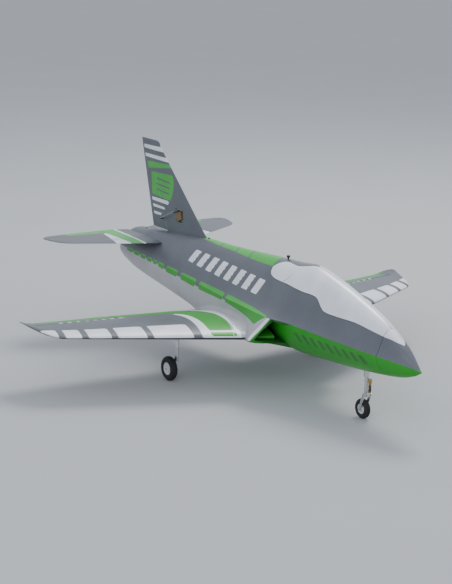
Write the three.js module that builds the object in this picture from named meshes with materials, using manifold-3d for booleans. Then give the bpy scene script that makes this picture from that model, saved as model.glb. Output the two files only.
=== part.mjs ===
import * as THREE from 'three';
import { mergeVertices } from 'three/addons/utils/BufferGeometryUtils.js';
import Module from 'manifold-3d';

const wasm = await Module();
wasm.setup();

// A ducted-fan sport jet with retractable tricycle gear. Millimetres, +X to the nose, +Y to the
// left wing tip, +Z up. The origin is on the ground, in the middle of the overall box.
// "aft" is the distance behind the nose tip, and "out" is the distance from the plane of symmetry.

// Driving dimensions.
const overallLength = 1175;
const halfSpan = 530;
const foamWall = 5;
const fitGap = 0.3;
const hingeGap = 1;
const noseSeam = 100;
const fuselageJoint = 600;
const intakeTop = 404;
const intakeSlant = 26;
const fanBore = 80;
const fanWall = 2;
const fanFront = 626;
const fanLength = 58;
const fanHeight = 178;
const nozzleBore = 66;
const nozzleHeight = 196;
const bladeCount = 10;
const motorRadius = 14;
const motorLength = 46;
const batterySize = [135, 46, 38];
const bayFloor = 190;
const bayFront = 228;
const bayRear = 462;
const mainWheelRadius = 28.5;
const mainWheelWidth = 17;
const mainWheelAft = 640;
const mainWheelOut = 211;
const mainStrutOut = 196;
const mainStrutAft = 630;
const mainPivotHeight = 133;
const mainKnuckleHeight = 50;
const noseWheelRadius = 22;
const noseWheelWidth = 14;
const noseWheelAft = 188;
const noseStrutAft = 178;
const nosePivotHeight = 132;
const noseKnuckleHeight = 56;
const strutRadius = 4;
const axleRadius = 2;
const runningGap = 0.06;
const sparRadius = 4;
const sparHalfLength = 200;
const sparAft = 585;
const sparHeight = 128;
const controlChord = 48;
const hingeBevel = Math.tan(Math.PI / 4);
const hatchRear = 492;
const hatchWall = 6;

const noseX = overallLength / 2;
const at = (aft) => noseX - aft;
// The fuselage behind the wing and all of the tail keep their distance to the tail end.
const tailEnd = overallLength - 18;
const far = (aft) => aft + tailEnd - 1157;
const sides = [['left', 1], ['right', -1]];

// Solids.
function toSolid(geometry) {
  const bare = geometry.clone();
  bare.deleteAttribute('normal');
  bare.deleteAttribute('uv');
  const merged = mergeVertices(bare, 1e-4);
  const vertices = Float32Array.from(merged.attributes.position.array);
  const index = Array.from(merged.index.array);
  const faces = [];
  for (let i = 0; i < index.length; i += 3) {
    const [a, b, c] = index.slice(i, i + 3);
    if (a !== b && b !== c && c !== a) {
      faces.push(a, b, c);
    }
  }
  const corner = (i) => new THREE.Vector3().fromArray(vertices, 3 * i);
  let volume = 0;
  for (let i = 0; i < faces.length; i += 3) {
    volume += corner(faces[i]).dot(corner(faces[i + 1]).cross(corner(faces[i + 2])));
  }
  if (volume < 0) {
    faces.reverse();
  }
  return new wasm.Manifold(new wasm.Mesh({
    numProp: 3,
    vertProperties: vertices,
    triVerts: Uint32Array.from(faces),
  }));
}

const group = new THREE.Group();

function place(name, solid, look) {
  const mesh = solid.getMesh();
  const geometry = new THREE.BufferGeometry();
  geometry.setAttribute('position', new THREE.BufferAttribute(mesh.vertProperties, 3));
  geometry.setIndex(new THREE.BufferAttribute(mesh.triVerts, 1));
  geometry.computeVertexNormals();
  const piece = new THREE.Mesh(geometry, new THREE.MeshStandardMaterial(look));
  piece.name = name;
  group.add(piece);
}

// Joins rings of equally many points into a closed body, each end closed by a fan.
function loft(rings) {
  const count = rings[0].length;
  const positions = rings.flat(2);
  const faces = [];
  for (let r = 0; r + 1 < rings.length; r += 1) {
    for (let p = 0; p < count; p += 1) {
      const a = r * count + p;
      const b = r * count + ((p + 1) % count);
      faces.push(a, b, b + count, a, b + count, a + count);
    }
  }
  [0, rings.length - 1].forEach((r) => {
    const middle = positions.length / 3;
    for (let axis = 0; axis < 3; axis += 1) {
      positions.push(rings[r].reduce((sum, point) => sum + point[axis], 0) / count);
    }
    for (let p = 0; p < count; p += 1) {
      const a = r * count + p;
      const b = r * count + ((p + 1) % count);
      faces.push(...(r === 0 ? [b, a, middle] : [a, b, middle]));
    }
  });
  const geometry = new THREE.BufferGeometry();
  geometry.setAttribute('position', new THREE.Float32BufferAttribute(positions, 3));
  geometry.setIndex(faces);
  return toSolid(geometry);
}

// A box between two corners.
function box(low, high) {
  const size = high.map((value, axis) => value - low[axis]);
  const shape = new THREE.BoxGeometry(...size);
  shape.translate(...low.map((value, axis) => value + size[axis] / 2));
  return toSolid(shape);
}

// A box given by its aft, out and height ranges.
const block = (aft, out, height) => box([at(aft[1]), out[0], height[0]], [at(aft[0]), out[1], height[1]]);

// A flat outline pushed along an axis. Its points are (x, z) for 'y' and (x, y) for 'z'.
function prism(points, axis, from, to) {
  const outline = new THREE.Shape(points.map(([u, v]) => new THREE.Vector2(u, v)));
  const shape = new THREE.ExtrudeGeometry(outline, { depth: to - from, bevelEnabled: false });
  if (axis === 'y') {
    shape.rotateX(Math.PI / 2);
    shape.translate(0, to, 0);
  } else {
    shape.translate(0, 0, from);
  }
  return toSolid(shape);
}

// A round bar between two points.
function bar(from, to, radius, segments = 12, endRadius = radius) {
  const start = new THREE.Vector3(...from);
  const end = new THREE.Vector3(...to);
  const shape = new THREE.CylinderGeometry(endRadius, radius, start.distanceTo(end), segments);
  const up = new THREE.Vector3(0, 1, 0);
  const turn = new THREE.Quaternion().setFromUnitVectors(up, end.clone().sub(start).normalize());
  shape.applyQuaternion(turn);
  shape.translate(...start.add(end).multiplyScalar(0.5).toArray());
  return toSolid(shape);
}

// A body turned about a line along Y through (x, z); its profile is (radius, y).
function wheelBody(profile, x, y, z, segments) {
  const shape = new THREE.LatheGeometry(profile.map(([r, v]) => new THREE.Vector2(r, v)), segments);
  shape.translate(x, y, z);
  return toSolid(shape);
}

const join = (first, ...rest) => rest.reduce((sum, solid) => sum.add(solid), first);
const cut = (first, ...rest) => rest.reduce((sum, solid) => sum.subtract(solid), first);

// The radius of a many-sided hole whose flats stay a gap clear of a round bar.
const holeRadius = (radius, gap, segments) => (radius + gap) / Math.cos(Math.PI / segments);

// A smooth line through (aft, value) points, flat at neither end.
function through(points) {
  const slope = points.map((point, i) => {
    const before = points[Math.max(i - 1, 0)];
    const after = points[Math.min(i + 1, points.length - 1)];
    return (after[1] - before[1]) / (after[0] - before[0]);
  });
  return (aft) => {
    let i = 0;
    while (i < points.length - 2 && aft > points[i + 1][0]) {
      i += 1;
    }
    const [start, from] = points[i];
    const [end, to] = points[i + 1];
    const span = end - start;
    const t = Math.min(Math.max((aft - start) / span, 0), 1);
    const rise = slope[i] * span * t * (1 - t) ** 2;
    const fall = slope[i + 1] * span * t * t * (1 - t);
    return from + (to - from) * t * t * (3 - 2 * t) + rise - fall;
  };
}

// Fuselage lines. The chine is the crease between the upper and the lower body.
const topLine = through([[0, 150.5], [20, 165], [60, 193], [122, 228], [210, 260], [293, 284],
  [365, 298.5], [430, 294], [501, 291], [605, 285], [far(714), 280], [far(816), 278], [far(940), 269],
  [far(1063), 257], [far(1110), 253], [far(1141), 249], [tailEnd, 240]]);
const chineHalf = through([[0, 1.5], [18, 9], [60, 26], [138, 47], [210, 58], [284, 68], [364, 80],
  [intakeTop, 93], [430, 95], [520, 86], [654, 74], [far(803), 66], [far(960), 58], [far(1110), 50],
  [tailEnd, 44]]);
const chineHeight = through([[0, 149], [18, 155], [60, 162], [138, 169], [284, 177],
  [intakeTop, 184], [654, 186], [far(803), 195], [far(1110), 206], [tailEnd, 206]]);
const bellyLine = through([[0, 147.5], [20, 137], [66, 125], [143, 115], [225, 108], [391, 100],
  [450, 103], [520, 110], [fuselageJoint, 122]]);
const crownHalf = through([[0, 1], [60, 17], [210, 36], [365, 48], [501, 40], [605, 34], [far(816), 24],
  [far(1063), 22], [tailEnd, 30]]);
const waistHalf = through([[0, 1.2], [60, 19], [210, 34], [365, 44], [430, 50], [520, 56],
  [far(803), 56], [far(1110), 46], [tailEnd, 41]]);
const waistShare = through([[0, 0.3], [210, 0.18], [430, 0.14], [605, 0.25], [far(803), 0.35],
  [tailEnd, 0.5]]);
// The nacelle holds the ducts and carries the wing: its root corner runs from the intake lip aft.
const rootHalf = through([[intakeTop, 124], [430, 130], [470, 118], [520, 98], [580, 80],
  [640, 70], [far(735), 66], [far(800), 61], [far(917), 53], [far(1067), 45], [tailEnd, 38]]);
const rootHeight = through([[intakeTop, 134], [430, 133], [480, 124], [540, 117], [640, 115],
  [far(735), 120], [far(800), 135], [far(917), 148], [far(1067), 165], [tailEnd, 183]]);
const keelLine = through([[intakeTop, 118], [540, 113], [far(740), 114], [far(845), 123], [far(917), 131],
  [far(1067), 148], [far(1113), 155], [tailEnd, 168]]);
const sideBulge = through([[intakeTop, 0], [600, 1], [far(800), 4], [tailEnd, 4]]);
// Under the deck the front body narrows, and goes on as a wedge that parts the two ducts.
const coreFront = 335;
const coreHalf = through([[coreFront, 75.7], [370, 78], [intakeTop, 76], [470, 58], [540, 34], [592, 10]]);

const upperSteps = 7;
const sideSteps = 3;
const bellySteps = 6;

function bezier(points, t) {
  const s = 1 - t;
  const share = points.length === 3
    ? [s * s, 2 * s * t, t * t]
    : [s ** 3, 3 * s * s * t, 3 * s * t * t, t ** 3];
  return [0, 1].map((axis) => points.reduce((sum, p, i) => sum + share[i] * p[axis], 0));
}

const stretch = (points, steps) => Array.from({ length: steps }, (_, i) => bezier(points, (i + 1) / steps));

function upperSide(aft, grow) {
  const top = topLine(aft) + grow;
  const chine = [chineHalf(aft) + grow, chineHeight(aft)];
  const waist = [waistHalf(aft) + grow, chine[1] + waistShare(aft) * (top - chine[1])];
  return [[0, top], ...stretch([[0, top], [crownHalf(aft) + grow, top], waist, chine], upperSteps)];
}

function frontLower(half, aft, grow) {
  const chine = [half + grow, chineHeight(aft)];
  const low = bellyLine(aft) - grow;
  const depth = chine[1] - low;
  const shoulder = [0.92 * chine[0], chine[1] - 0.45 * depth];
  return stretch([chine, shoulder, [0.55 * chine[0], low], [0, low]], sideSteps + bellySteps);
}

function rearLower(aft, grow) {
  const chine = [chineHalf(aft) + grow, chineHeight(aft)];
  const root = [rootHalf(aft) + grow, rootHeight(aft) - grow / 2];
  const low = keelLine(aft) - grow;
  const bulge = [(chine[0] + root[0]) / 2 + 2 * sideBulge(aft), (chine[1] + root[1]) / 2];
  const turn = [root[0] - 2, root[1] - 0.6 * (root[1] - low)];
  return [...stretch([chine, bulge, root], sideSteps),
    ...stretch([root, turn, [0.6 * root[0], low], [0, low]], bellySteps)];
}

// Mirrors half a section into a ring. lean moves a point aft by its depth under the chine.
function ring(half, aft, lean = 0) {
  const crease = chineHeight(aft);
  const depth = crease - rootHeight(aft);
  const point = ([out, height], side) => {
    const share = Math.min(Math.max((crease - height) / depth, 0), 1);
    return [at(aft + lean * share), side * out, height];
  };
  const back = half.slice(1, -1).reverse();
  return [...half.map((p) => point(p, 1)), ...back.map((p) => point(p, -1))];
}

// The front body hangs under the deck, whose edge is the chine.
const deckEdge = 6;
const lowHalf = (aft) => (aft < coreFront ? chineHalf(aft) * 0.985 : coreHalf(aft));
const frontRing = (aft, grow = 0) => ring([...upperSide(aft, grow),
  [lowHalf(aft) + grow, chineHeight(aft) - Math.min(deckEdge, aft * 0.05 + 0.2)],
  ...frontLower(aft < coreFront ? chineHalf(aft) : coreHalf(aft), aft, grow)], aft);
const rearRing = (aft, grow = 0, lean = 0) => {
  const side = rearLower(aft, grow);
  const chine = [chineHalf(aft) + grow, chineHeight(aft)];
  const next = side[0].map((value, axis) => chine[axis] + 0.3 * (value - chine[axis]));
  return ring([...upperSide(aft, grow), next, ...side], aft, lean);
};

function outerBody(grow, noseEnd) {
  const front = noseEnd === 0
    ? [0, 4, 12, 25, 42, 60, 80, noseSeam]
    : [noseEnd];
  front.push(122, 160, 210, 255, 300, coreFront, 352, 370, 388, intakeTop);
  const rear = [450, 485, 520, 560, 600, 650, 700, ...[735, 770, 816, 880, 960, 1063, 1110, 1141].map(far),
    tailEnd];
  return loft([...front.map((aft) => frontRing(aft, grow)),
    rearRing(intakeTop + 0.2, grow, intakeSlant), rearRing(424, grow, intakeSlant * 0.4),
    ...rear.map((aft) => rearRing(aft, grow))]);
}

const slice = (solid, from, to) => solid.intersect(block([from, to], [-200, 200], [60, 400]));

// The air path: the nacelle's inside, which becomes a round bore in front of the fan.
const fanOuter = fanBore / 2 + fanWall;

function ductRing(aft) {
  const roundness = Math.min(Math.max((aft - 480) / (fanFront - 6 - 480), 0), 1);
  const blend = roundness * roundness * (3 - 2 * roundness);
  const top = 180 - 0.4 * foamWall;
  const chine = [chineHalf(aft) - foamWall, top];
  const root = [rootHalf(aft) - foamWall - 1, rootHeight(aft) + foamWall * 0.6];
  const low = keelLine(aft) + foamWall;
  const half = [[0, top], ...stretch([[0, top], [chine[0] / 2, top], chine], 3),
    ...stretch([chine, [(chine[0] + root[0]) / 2, (top + root[1]) / 2], root], 3),
    ...stretch([root, [root[0] - 3, low], [0.7 * root[0], low], [0, low]], 5)];
  const angles = [0, 20, 38, 55, 75, 95, 112, 126, 140, 153, 166, 180];
  const mixed = half.map(([out, height], i) => {
    const turn = THREE.MathUtils.degToRad(angles[i]);
    const round = [fanOuter * Math.sin(turn), fanHeight + fanOuter * Math.cos(turn)];
    return [out + (round[0] - out) * blend, height + (round[1] - height) * blend];
  });
  const point = ([out, height], side) => [at(aft), side * out, height];
  const back = mixed.slice(1, -1).reverse();
  return [...mixed.map((p) => point(p, 1)), ...back.map((p) => point(p, -1))];
}

const ductStations = [intakeTop - 12, 430, 460, 490, 520, 550, 580, fanFront - 6];
const ductSpace = loft(ductStations.map(ductRing));
const coreStations = [370, intakeTop, 440, 470, 505, 540, 570, 592];
const ductCore = loft(coreStations.map((aft) => {
  const chine = [coreHalf(aft), chineHeight(aft) + 3];
  const half = [[0, chine[1]], chine, ...frontLower(coreHalf(aft), aft, -fitGap)];
  const back = half.slice(1, -1).reverse();
  return [...half.map(([out, height]) => [at(aft), out, height]),
    ...back.map(([out, height]) => [at(aft), -out, height])];
}));

// A tapering round body whose ends stand upright: (aft, height, radius) stations.
const roundSteps = 24;
const pipe = (stations) => loft(stations.map(([aft, height, radius]) => (
  Array.from({ length: roundSteps }, (_, i) => {
    const turn = (2 * Math.PI * i) / roundSteps;
    return [at(aft), radius * Math.sin(turn), height + radius * Math.cos(turn)];
  }))));
const fanRear = fanFront + fanLength;
const tubeWall = 1.5;
const tubeOuter = [[fanRear + fitGap, fanHeight, fanOuter],
  [tailEnd - 3, nozzleHeight, nozzleBore / 2 + tubeWall]];
const tunnelRadius = holeRadius(fanOuter, fitGap, roundSteps);
const tunnel = pipe([[fanFront - 7, fanHeight, tunnelRadius], [fanRear, fanHeight, tunnelRadius],
  [tailEnd + 1, nozzleHeight, holeRadius(nozzleBore / 2 + tubeWall, fitGap, roundSteps)]]);

// The hatch is the part of the upper body above this outline, seen from the side.
const hatchOutline = [[noseSeam + fitGap, 203], [128, 208], [180, 216], [240, 218], [282, 222],
  [297, 233], [312, 245], [360, 248], [413, 253], [465, 255.5], [487, 260], [hatchRear, 274],
  [hatchRear, 320], [noseSeam + fitGap, 320]];
const hatchSpace = prism(hatchOutline.map(([aft, height]) => [at(aft), height]), 'y', -110, 110);
const seat = hatchOutline.map(([aft, height]) => {
  const end = aft === hatchRear ? fitGap : 0;
  return [at(aft + end), height - fitGap];
});
seat[seat.length - 1][0] = at(noseSeam - 1);
seat[0][0] = at(noseSeam - 1);
const hatchSeat = prism(seat, 'y', -110, 110);

const shell = outerBody(0, 0);
const bay = block([bayFront, bayRear], [-27, 27], [bayFloor, 320]);
// The wheel folds back into the wide end of the bay, and may be steered there.
const noseBayHalf = 15;
const noseWheelReach = nosePivotHeight + 6;
const noseWheelHalf = (noseWheelRadius + noseWheelAft - noseStrutAft) * 0.5 + noseWheelWidth * 0.5 + 2.5;
const noseWheelBay = [
  noseStrutAft + nosePivotHeight - 2 * noseWheelRadius - 8,
  noseStrutAft + noseWheelReach,
];
const noseBay = join(
  block([noseStrutAft - 44, noseWheelBay[0] + 1], [-noseBayHalf, noseBayHalf], [60, 148]),
  block([noseStrutAft + 46, noseWheelBay[0] + 1], [-noseBayHalf, noseBayHalf], [60, bayFloor - 6]),
  block(noseWheelBay, [-noseWheelHalf, noseWheelHalf], [60, bayFloor - 6]),
);
const wellTop = 129;
const wellReach = mainPivotHeight - mainWheelRadius;
const wellOut = mainStrutOut - wellReach;
const wellSwing = [7, 5];

function wheelWell(side) {
  const middle = [at(mainWheelAft), side * wellOut];
  const segments = 20;
  const round = bar([...middle, 60], [...middle, wellTop], mainWheelRadius + 4, segments);
  // The sprung link can swing the folded wheel aft and out.
  const swung = [middle[0] - wellSwing[0], middle[1] + side * wellSwing[1]];
  const second = bar([...swung, 60], [...swung, wellTop], mainWheelRadius + 2.5, segments);
  const reach = [wellOut - 10, mainStrutOut + 6].map((out) => side * out).sort((a, b) => a - b);
  const slot = block([mainStrutAft - 9, mainWheelAft + 16], reach, [60, wellTop + 9]);
  return join(round, second, slot);
}

const wells = join(wheelWell(1), wheelWell(-1));
const retractPocket = (side) => block([mainStrutAft - 13.5, mainStrutAft + 13.5],
  [side * (mainStrutOut - 8), side * (mainStrutOut + 41)].sort((a, b) => a - b),
  [60, mainPivotHeight + 12]);
const sparHole = bar([at(sparAft), -sparHalfLength - 1, sparHeight],
  [at(sparAft), sparHalfLength + 1, sparHeight], holeRadius(sparRadius, fitGap, 12), 12);
const tailSparAft = far(1050);
const tailSparHeight = 244;
const tailSparRadius = 2.5;
const tailSparHalf = 150;
const tailSparHole = bar([at(tailSparAft), -tailSparHalf - 1, tailSparHeight],
  [at(tailSparAft), tailSparHalf + 1, tailSparHeight], holeRadius(tailSparRadius, fitGap, 8), 8);

const paint = { color: 0x5c6068, roughness: 0.5, metalness: 0.2 };
const silverPaint = { color: 0xa6a8ac, roughness: 0.45, metalness: 0.3 };
const whitePaint = { color: 0xdfe3e8, roughness: 0.35, metalness: 0 };
const darkPlastic = { color: 0x1b1c1e, roughness: 0.6, metalness: 0 };
const aluminium = { color: 0xb9bcc0, roughness: 0.35, metalness: 1 };
const steel = { color: 0x9a9da1, roughness: 0.3, metalness: 1 };
const carbon = { color: 0x222326, roughness: 0.4, metalness: 0.1 };
const plywood = { color: 0xc9a871, roughness: 0.8, metalness: 0 };
const rubber = { color: 0x161616, roughness: 0.85, metalness: 0 };

place('nose_cone', slice(shell, -5, noseSeam - fitGap), paint);
const frontBody = join(cut(slice(shell, noseSeam, fuselageJoint), ductSpace, tunnel),
  slice(ductCore, 372, 592));
place('fuselage_front', cut(frontBody, hatchSeat, bay, noseBay, sparHole), paint);
place('fuselage_rear', cut(slice(shell, fuselageJoint + fitGap, tailEnd + 5),
  ductSpace, tunnel, wells, tailSparHole), silverPaint);

// Canopy hatch: the upper shell, hollow over the bay, with a slot for the latch.
const latchAft = 475;
const latchTravel = 8;
const hatchHollow = loft([bayFront - 60, bayFront, 300, 365, 430, bayRear].map((aft) => {
  const half = upperSide(aft, -hatchWall);
  const low = [half[half.length - 1][0] * 0.5, 190];
  const all = [...half.slice(0, -1), low, [0, 190]];
  const back = all.slice(1, -1).reverse();
  return [...all.map(([out, height]) => [at(aft), out, height]),
    ...back.map(([out, height]) => [at(aft), -out, height])];
}));
const latchSlot = block([latchAft - latchTravel - 3.6, latchAft + 3.6], [-3, 3], [262, 320]);
const latchSpace = block([latchAft - latchTravel - 7.5, hatchRear + 6], [-7, 7], [264, 284]);
place('canopy_hatch', cut(hatchSpace.intersect(slice(shell, noseSeam + fitGap, hatchRear)),
  hatchHollow, latchSlot, latchSpace), whitePaint);
const knob = toSolid(new THREE.LatheGeometry([[0, 0], [2.4, 0], [2.4, 18], [1.8, 24], [4.6, 29],
  [4.2, 30.5], [0, 30.5]].map(([r, v]) => new THREE.Vector2(r, v)), 12)
  .rotateX(Math.PI / 2).translate(at(latchAft), 0, 272));
const bolt = block([latchAft - 6, hatchRear - 4.5], [-5, 5], [266, 274]);
place('canopy_latch', join(knob, bolt), darkPlastic);

// Electric power: the battery on its tray, the speed controller and the receiver.
const trayTop = bayFloor + 3.5;
place('battery_tray', block([bayFront + 6, bayRear - 6], [-24, 24], [bayFloor + fitGap, trayTop]), plywood);
const batteryFront = 262;
place('battery', block([batteryFront, batteryFront + batterySize[0]],
  [-batterySize[1] / 2, batterySize[1] / 2], [trayTop + fitGap, trayTop + fitGap + batterySize[2]]),
{ color: 0x30343c, roughness: 0.5, metalness: 0 });
place('receiver', block([238, 256], [-18, 18], [trayTop + fitGap, trayTop + 14]), darkPlastic);
place('speed_controller', block([404, 452], [-17, 17], [trayTop + fitGap, trayTop + 18]), darkPlastic);

// The fan: housing with stator vanes and motor pod, the motor, the spinning rotor.
const podRadius = motorRadius + 2;
const vaneFront = fanFront + 30;
const alongX = (from, to, radius, segments, endRadius) => bar([at(from), 0, fanHeight],
  [at(to), 0, fanHeight], radius, segments, endRadius);

function spokes(count, aftRange, outerReach, innerReach, thickness, twist) {
  const all = Array.from({ length: count }, (_, i) => {
    const low = [-(aftRange[1] - aftRange[0]) / 2, -thickness / 2, innerReach];
    const high = [(aftRange[1] - aftRange[0]) / 2, thickness / 2, outerReach];
    const shape = new THREE.BoxGeometry(...high.map((value, axis) => value - low[axis]));
    shape.translate(0, 0, (innerReach + outerReach) / 2);
    shape.rotateZ(twist);
    shape.rotateX((2 * Math.PI * i) / count);
    shape.translate(at((aftRange[0] + aftRange[1]) / 2), 0, fanHeight);
    return toSolid(shape);
  });
  return join(...all);
}

const podHole = alongX(vaneFront - 1, fanRear - 4, holeRadius(motorRadius, fitGap, 16), 16);
place('fan_housing', join(
  cut(alongX(fanFront, fanRear, fanOuter, 24), alongX(fanFront - 1, fanRear + 1, fanBore / 2, 24)),
  spokes(4, [vaneFront + 2, fanRear - 3], fanBore / 2 + 0.8, podRadius - 1, 2, 0),
  cut(alongX(vaneFront, fanRear - 1, podRadius, 16), podHole),
), darkPlastic);
const rotorRear = vaneFront - 1.5;
place('fan_motor', join(alongX(vaneFront + 1, fanRear - 4.5, motorRadius, 16),
  alongX(rotorRear - 18, vaneFront + 2, axleRadius, 10)), steel);
const rotorBore = alongX(rotorRear - 20, rotorRear + 1, holeRadius(axleRadius, runningGap, 10), 10);
place('fan_rotor', cut(join(
  alongX(fanFront + 4, rotorRear, podRadius, 16),
  alongX(fanFront - 8, fanFront + 4.5, 5, 16, podRadius),
  spokes(bladeCount, [fanFront + 7, fanFront + 25], fanBore / 2 - 0.8, podRadius - 1.5, 1.8, 0.6),
), rotorBore), darkPlastic);
place('exhaust_tube', cut(pipe(tubeOuter), pipe(tubeOuter.map(([aft, height, radius], i) => (
  [aft + 2 * i - 1, height, radius - tubeWall])))), carbon);

// Wing: leading and trailing edges as lines in plan, with a raked, upturned tip.
const wingEdgeEnd = halfSpan - 26;
const leadingEdge = (out) => 409.2 + 0.468 * out;
const trailingEdge = through([[0, 728], [100, 741], [196, 753], [320, 769],
  [halfSpan - 109, 775], [halfSpan, 786]]);
const wingHeight = (out) => 127.2 + 0.023 * out;
const wingThickness = through([[0, 0.115], [300, 0.105], [halfSpan, 0.085]]);
const camber = 0.018;
const edgeThickness = 1.4;

// Half thickness of a foil section at a share of its chord, with a blunt trailing edge.
function halfThickness(t, thickness) {
  const bulk = 1.4845 * Math.sqrt(t) - 0.63 * t - 1.758 * t * t + 1.4215 * t ** 3 - 0.5075 * t ** 4;
  return thickness * bulk + (t * edgeThickness) / 2;
}

// A foil's outline as (aft, offset) points, from the trailing edge round the leading edge.
function foil(front, rear, thickness, bend = 0, steps = 9) {
  const chord = rear - front;
  const loop = [];
  for (let i = 0; i < 2 * steps + 1; i += 1) {
    const side = i < steps ? 1 : -1;
    const t = 0.5 + 0.5 * Math.cos((Math.PI * i) / steps);
    const half = i === steps ? 0 : halfThickness(t, thickness);
    loop.push([front + t * chord, 4 * bend * chord * t * (1 - t) + side * half]);
  }
  return loop;
}

const flatFoil = (outline, out, height) => outline.map(([aft, v]) => [at(aft), out, height + v]);
const uprightFoil = (outline, height) => outline.map(([aft, v]) => [at(aft), v, height]);

function wingLoft(side) {
  const even = [50, 100, 150, 200, 260, 320, 380, wingEdgeEnd - 64, wingEdgeEnd];
  const rings = even.map((out) => {
    const chord = trailingEdge(out) - leadingEdge(out);
    const outline = foil(leadingEdge(out), trailingEdge(out), wingThickness(out) * chord, camber);
    return flatFoil(outline, side * out, wingHeight(out));
  });
  const corner = leadingEdge(wingEdgeEnd);
  const tips = [[halfSpan - 16, 0.32, 3], [halfSpan - 7, 0.62, 9], [halfSpan, 0.86, 18]];
  tips.forEach(([out, share, rise]) => {
    const rear = trailingEdge(out);
    const front = corner + share * (rear - corner);
    const outline = foil(front, rear, 0.07 * (rear - front), camber);
    rings.push(flatFoil(outline, side * out, wingHeight(out) + rise));
  });
  return loft(rings);
}

const bodyClear = outerBody(0.5, 0);
const surfaceClear = outerBody(2.5, 0);

// The space of a control surface: a bevelled nose on the hinge line, open behind it.
function hingeSpace(from, to, reach, ahead = 0, bevel = hingeBevel) {
  const profile = [[ahead, 0], [ahead - reach * bevel, reach], [-260, reach], [-260, -reach],
    [ahead - reach * bevel, -reach]];
  return loft([from, to].map((point) => profile.map(([x, z]) => (
    [point[0] + x, point[1], point[2] + z]))));
}

function uprightSpace(from, to, reach, ahead = 0, bevel = hingeBevel) {
  const profile = [[ahead, 0], [ahead - reach * bevel, reach], [-260, reach], [-260, -reach],
    [ahead - reach * bevel, -reach]];
  return loft([from, to].map((point) => profile.map(([x, y]) => (
    [point[0] + x, point[1] + y, point[2]]))));
}

// The point of a line where one of its coordinates has a given value.
function pointOn([from, to], axis, value) {
  const share = (value - from[axis]) / (to[axis] - from[axis]);
  return from.map((start, i) => start + share * (to[i] - start));
}

const extend = (from, to, length) => {
  const start = new THREE.Vector3(...from);
  const way = new THREE.Vector3(...to).sub(start).normalize().multiplyScalar(length);
  return [start.sub(way).toArray(), new THREE.Vector3(...to).add(way).toArray()];
};

// Wing control surfaces. Their hinge lines lie at half the wing's thickness.
const flapRange = [118, 300];
const aileronRange = [303, wingEdgeEnd - 1];
const hornReach = 13;

function wingHinge(out, side) {
  const front = leadingEdge(out);
  const rear = trailingEdge(out);
  const aft = rear - controlChord;
  const t = (aft - front) / (rear - front);
  return [at(aft), side * out, wingHeight(out) + 4 * camber * (rear - front) * t * (1 - t)];
}

// A box in a turned frame: e points forward, r along the horn, a along the hinge.
function frameAt(origin, hinge, reach) {
  const a = new THREE.Vector3(...hinge[1]).sub(new THREE.Vector3(...hinge[0])).normalize();
  const r = new THREE.Vector3(...reach);
  r.sub(a.clone().multiplyScalar(r.dot(a))).normalize();
  const e = r.clone().cross(a);
  e.multiplyScalar(Math.sign(e.x));
  return new THREE.Matrix4().makeBasis(e, r, a).setPosition(...origin);
}

function turnedBox(frame, e, r, a) {
  const shape = new THREE.BoxGeometry(e[1] - e[0], r[1] - r[0], a[1] - a[0]);
  shape.translate((e[0] + e[1]) / 2, (r[0] + r[1]) / 2, (a[0] + a[1]) / 2);
  return toSolid(shape.applyMatrix4(frame));
}

const plateHalf = 0.8;
const rodRadius = 0.8;
const rodOffset = plateHalf + rodRadius + 0.4;
const servoSize = [23, 11, 20];
const hornSlot = (frame) =>
  turnedBox(frame, [-1, 12], [0, hornReach + 8], [-plateHalf - 0.8, plateHalf + 0.8]);
const hornPiece = (frame, from) =>
  turnedBox(frame, [-7, 0.4], [from, hornReach + 2], [-plateHalf, plateHalf]);

// A servo with its output on the frame's origin, its arm, and the rod to a horn of equal reach.
function placeServo(name, frame, hornFrame) {
  const boss = turnedBox(frame, [-2.5, 2.5], [-2.5, 2.5], [-3, -1.2]);
  const body = turnedBox(frame, [-6, servoSize[0] - 6], [-servoSize[1] / 2, servoSize[1] / 2],
    [-3 - servoSize[2], -2.6]);
  place(`${name}_servo`, join(body, boss), { color: 0x8a6a35, roughness: 0.5, metalness: 0.1 });
  // The arm's thick boss balances it about the output.
  place(`${name}_servo_arm`, join(
    turnedBox(frame, [-1.5, 1.5], [0, hornReach + 2], [-plateHalf, plateHalf]),
    turnedBox(frame, [-4, 4], [-4, 1.5], [-plateHalf, plateHalf + 2.4]),
  ), darkPlastic);
  const tip = new THREE.Vector3(0, hornReach, rodOffset);
  place(`${name}_rod`, bar(tip.clone().applyMatrix4(frame).toArray(),
    tip.clone().applyMatrix4(hornFrame).toArray(), rodRadius, 8), steel);
}

const servoPocket = (frame) => turnedBox(frame, [-10, servoSize[0] - 5],
  [-servoSize[1] / 2 - 0.5, 40], [-4 - servoSize[2], 5]);

// Wings with their flaps and ailerons.
const wings = {};
const hornOut = { flap: 215, aileron: 400 };
const aileronServoAft = 662;

sides.forEach(([name, side]) => {
  let wing = cut(wingLoft(side), bodyClear, wells, sparHole, retractPocket(side));
  [['flap', flapRange], ['aileron', aileronRange]].forEach(([kind, [inner, outer]]) => {
    const hinge = [wingHinge(inner, side), wingHinge(outer, side)];
    const hornPoint = pointOn(hinge, 1, side * hornOut[kind]);
    const frame = frameAt(hornPoint, hinge, [0, 0, -1]);
    const surface = cut(wingLoft(side).intersect(hingeSpace(...hinge, 20)), surfaceClear);
    wing = cut(wing, hingeSpace(...extend(...hinge, hingeGap), 20, hingeGap, 0), hornSlot(frame));
    place(`${name}_${kind}`, join(surface, hornPiece(frame, 1.5)), paint);
    if (kind === 'aileron') {
      const servoPoint = [at(aileronServoAft), hornPoint[1], hornPoint[2]];
      const servoFrame = frameAt(servoPoint, hinge, [0, 0, -1]);
      placeServo(`${name}_aileron`, servoFrame, frame);
      wing = cut(wing, servoPocket(servoFrame));
    }
  });
  wings[name] = wing;
});
sides.forEach(([name]) => place(`${name}_wing`, wings[name], paint));

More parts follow.
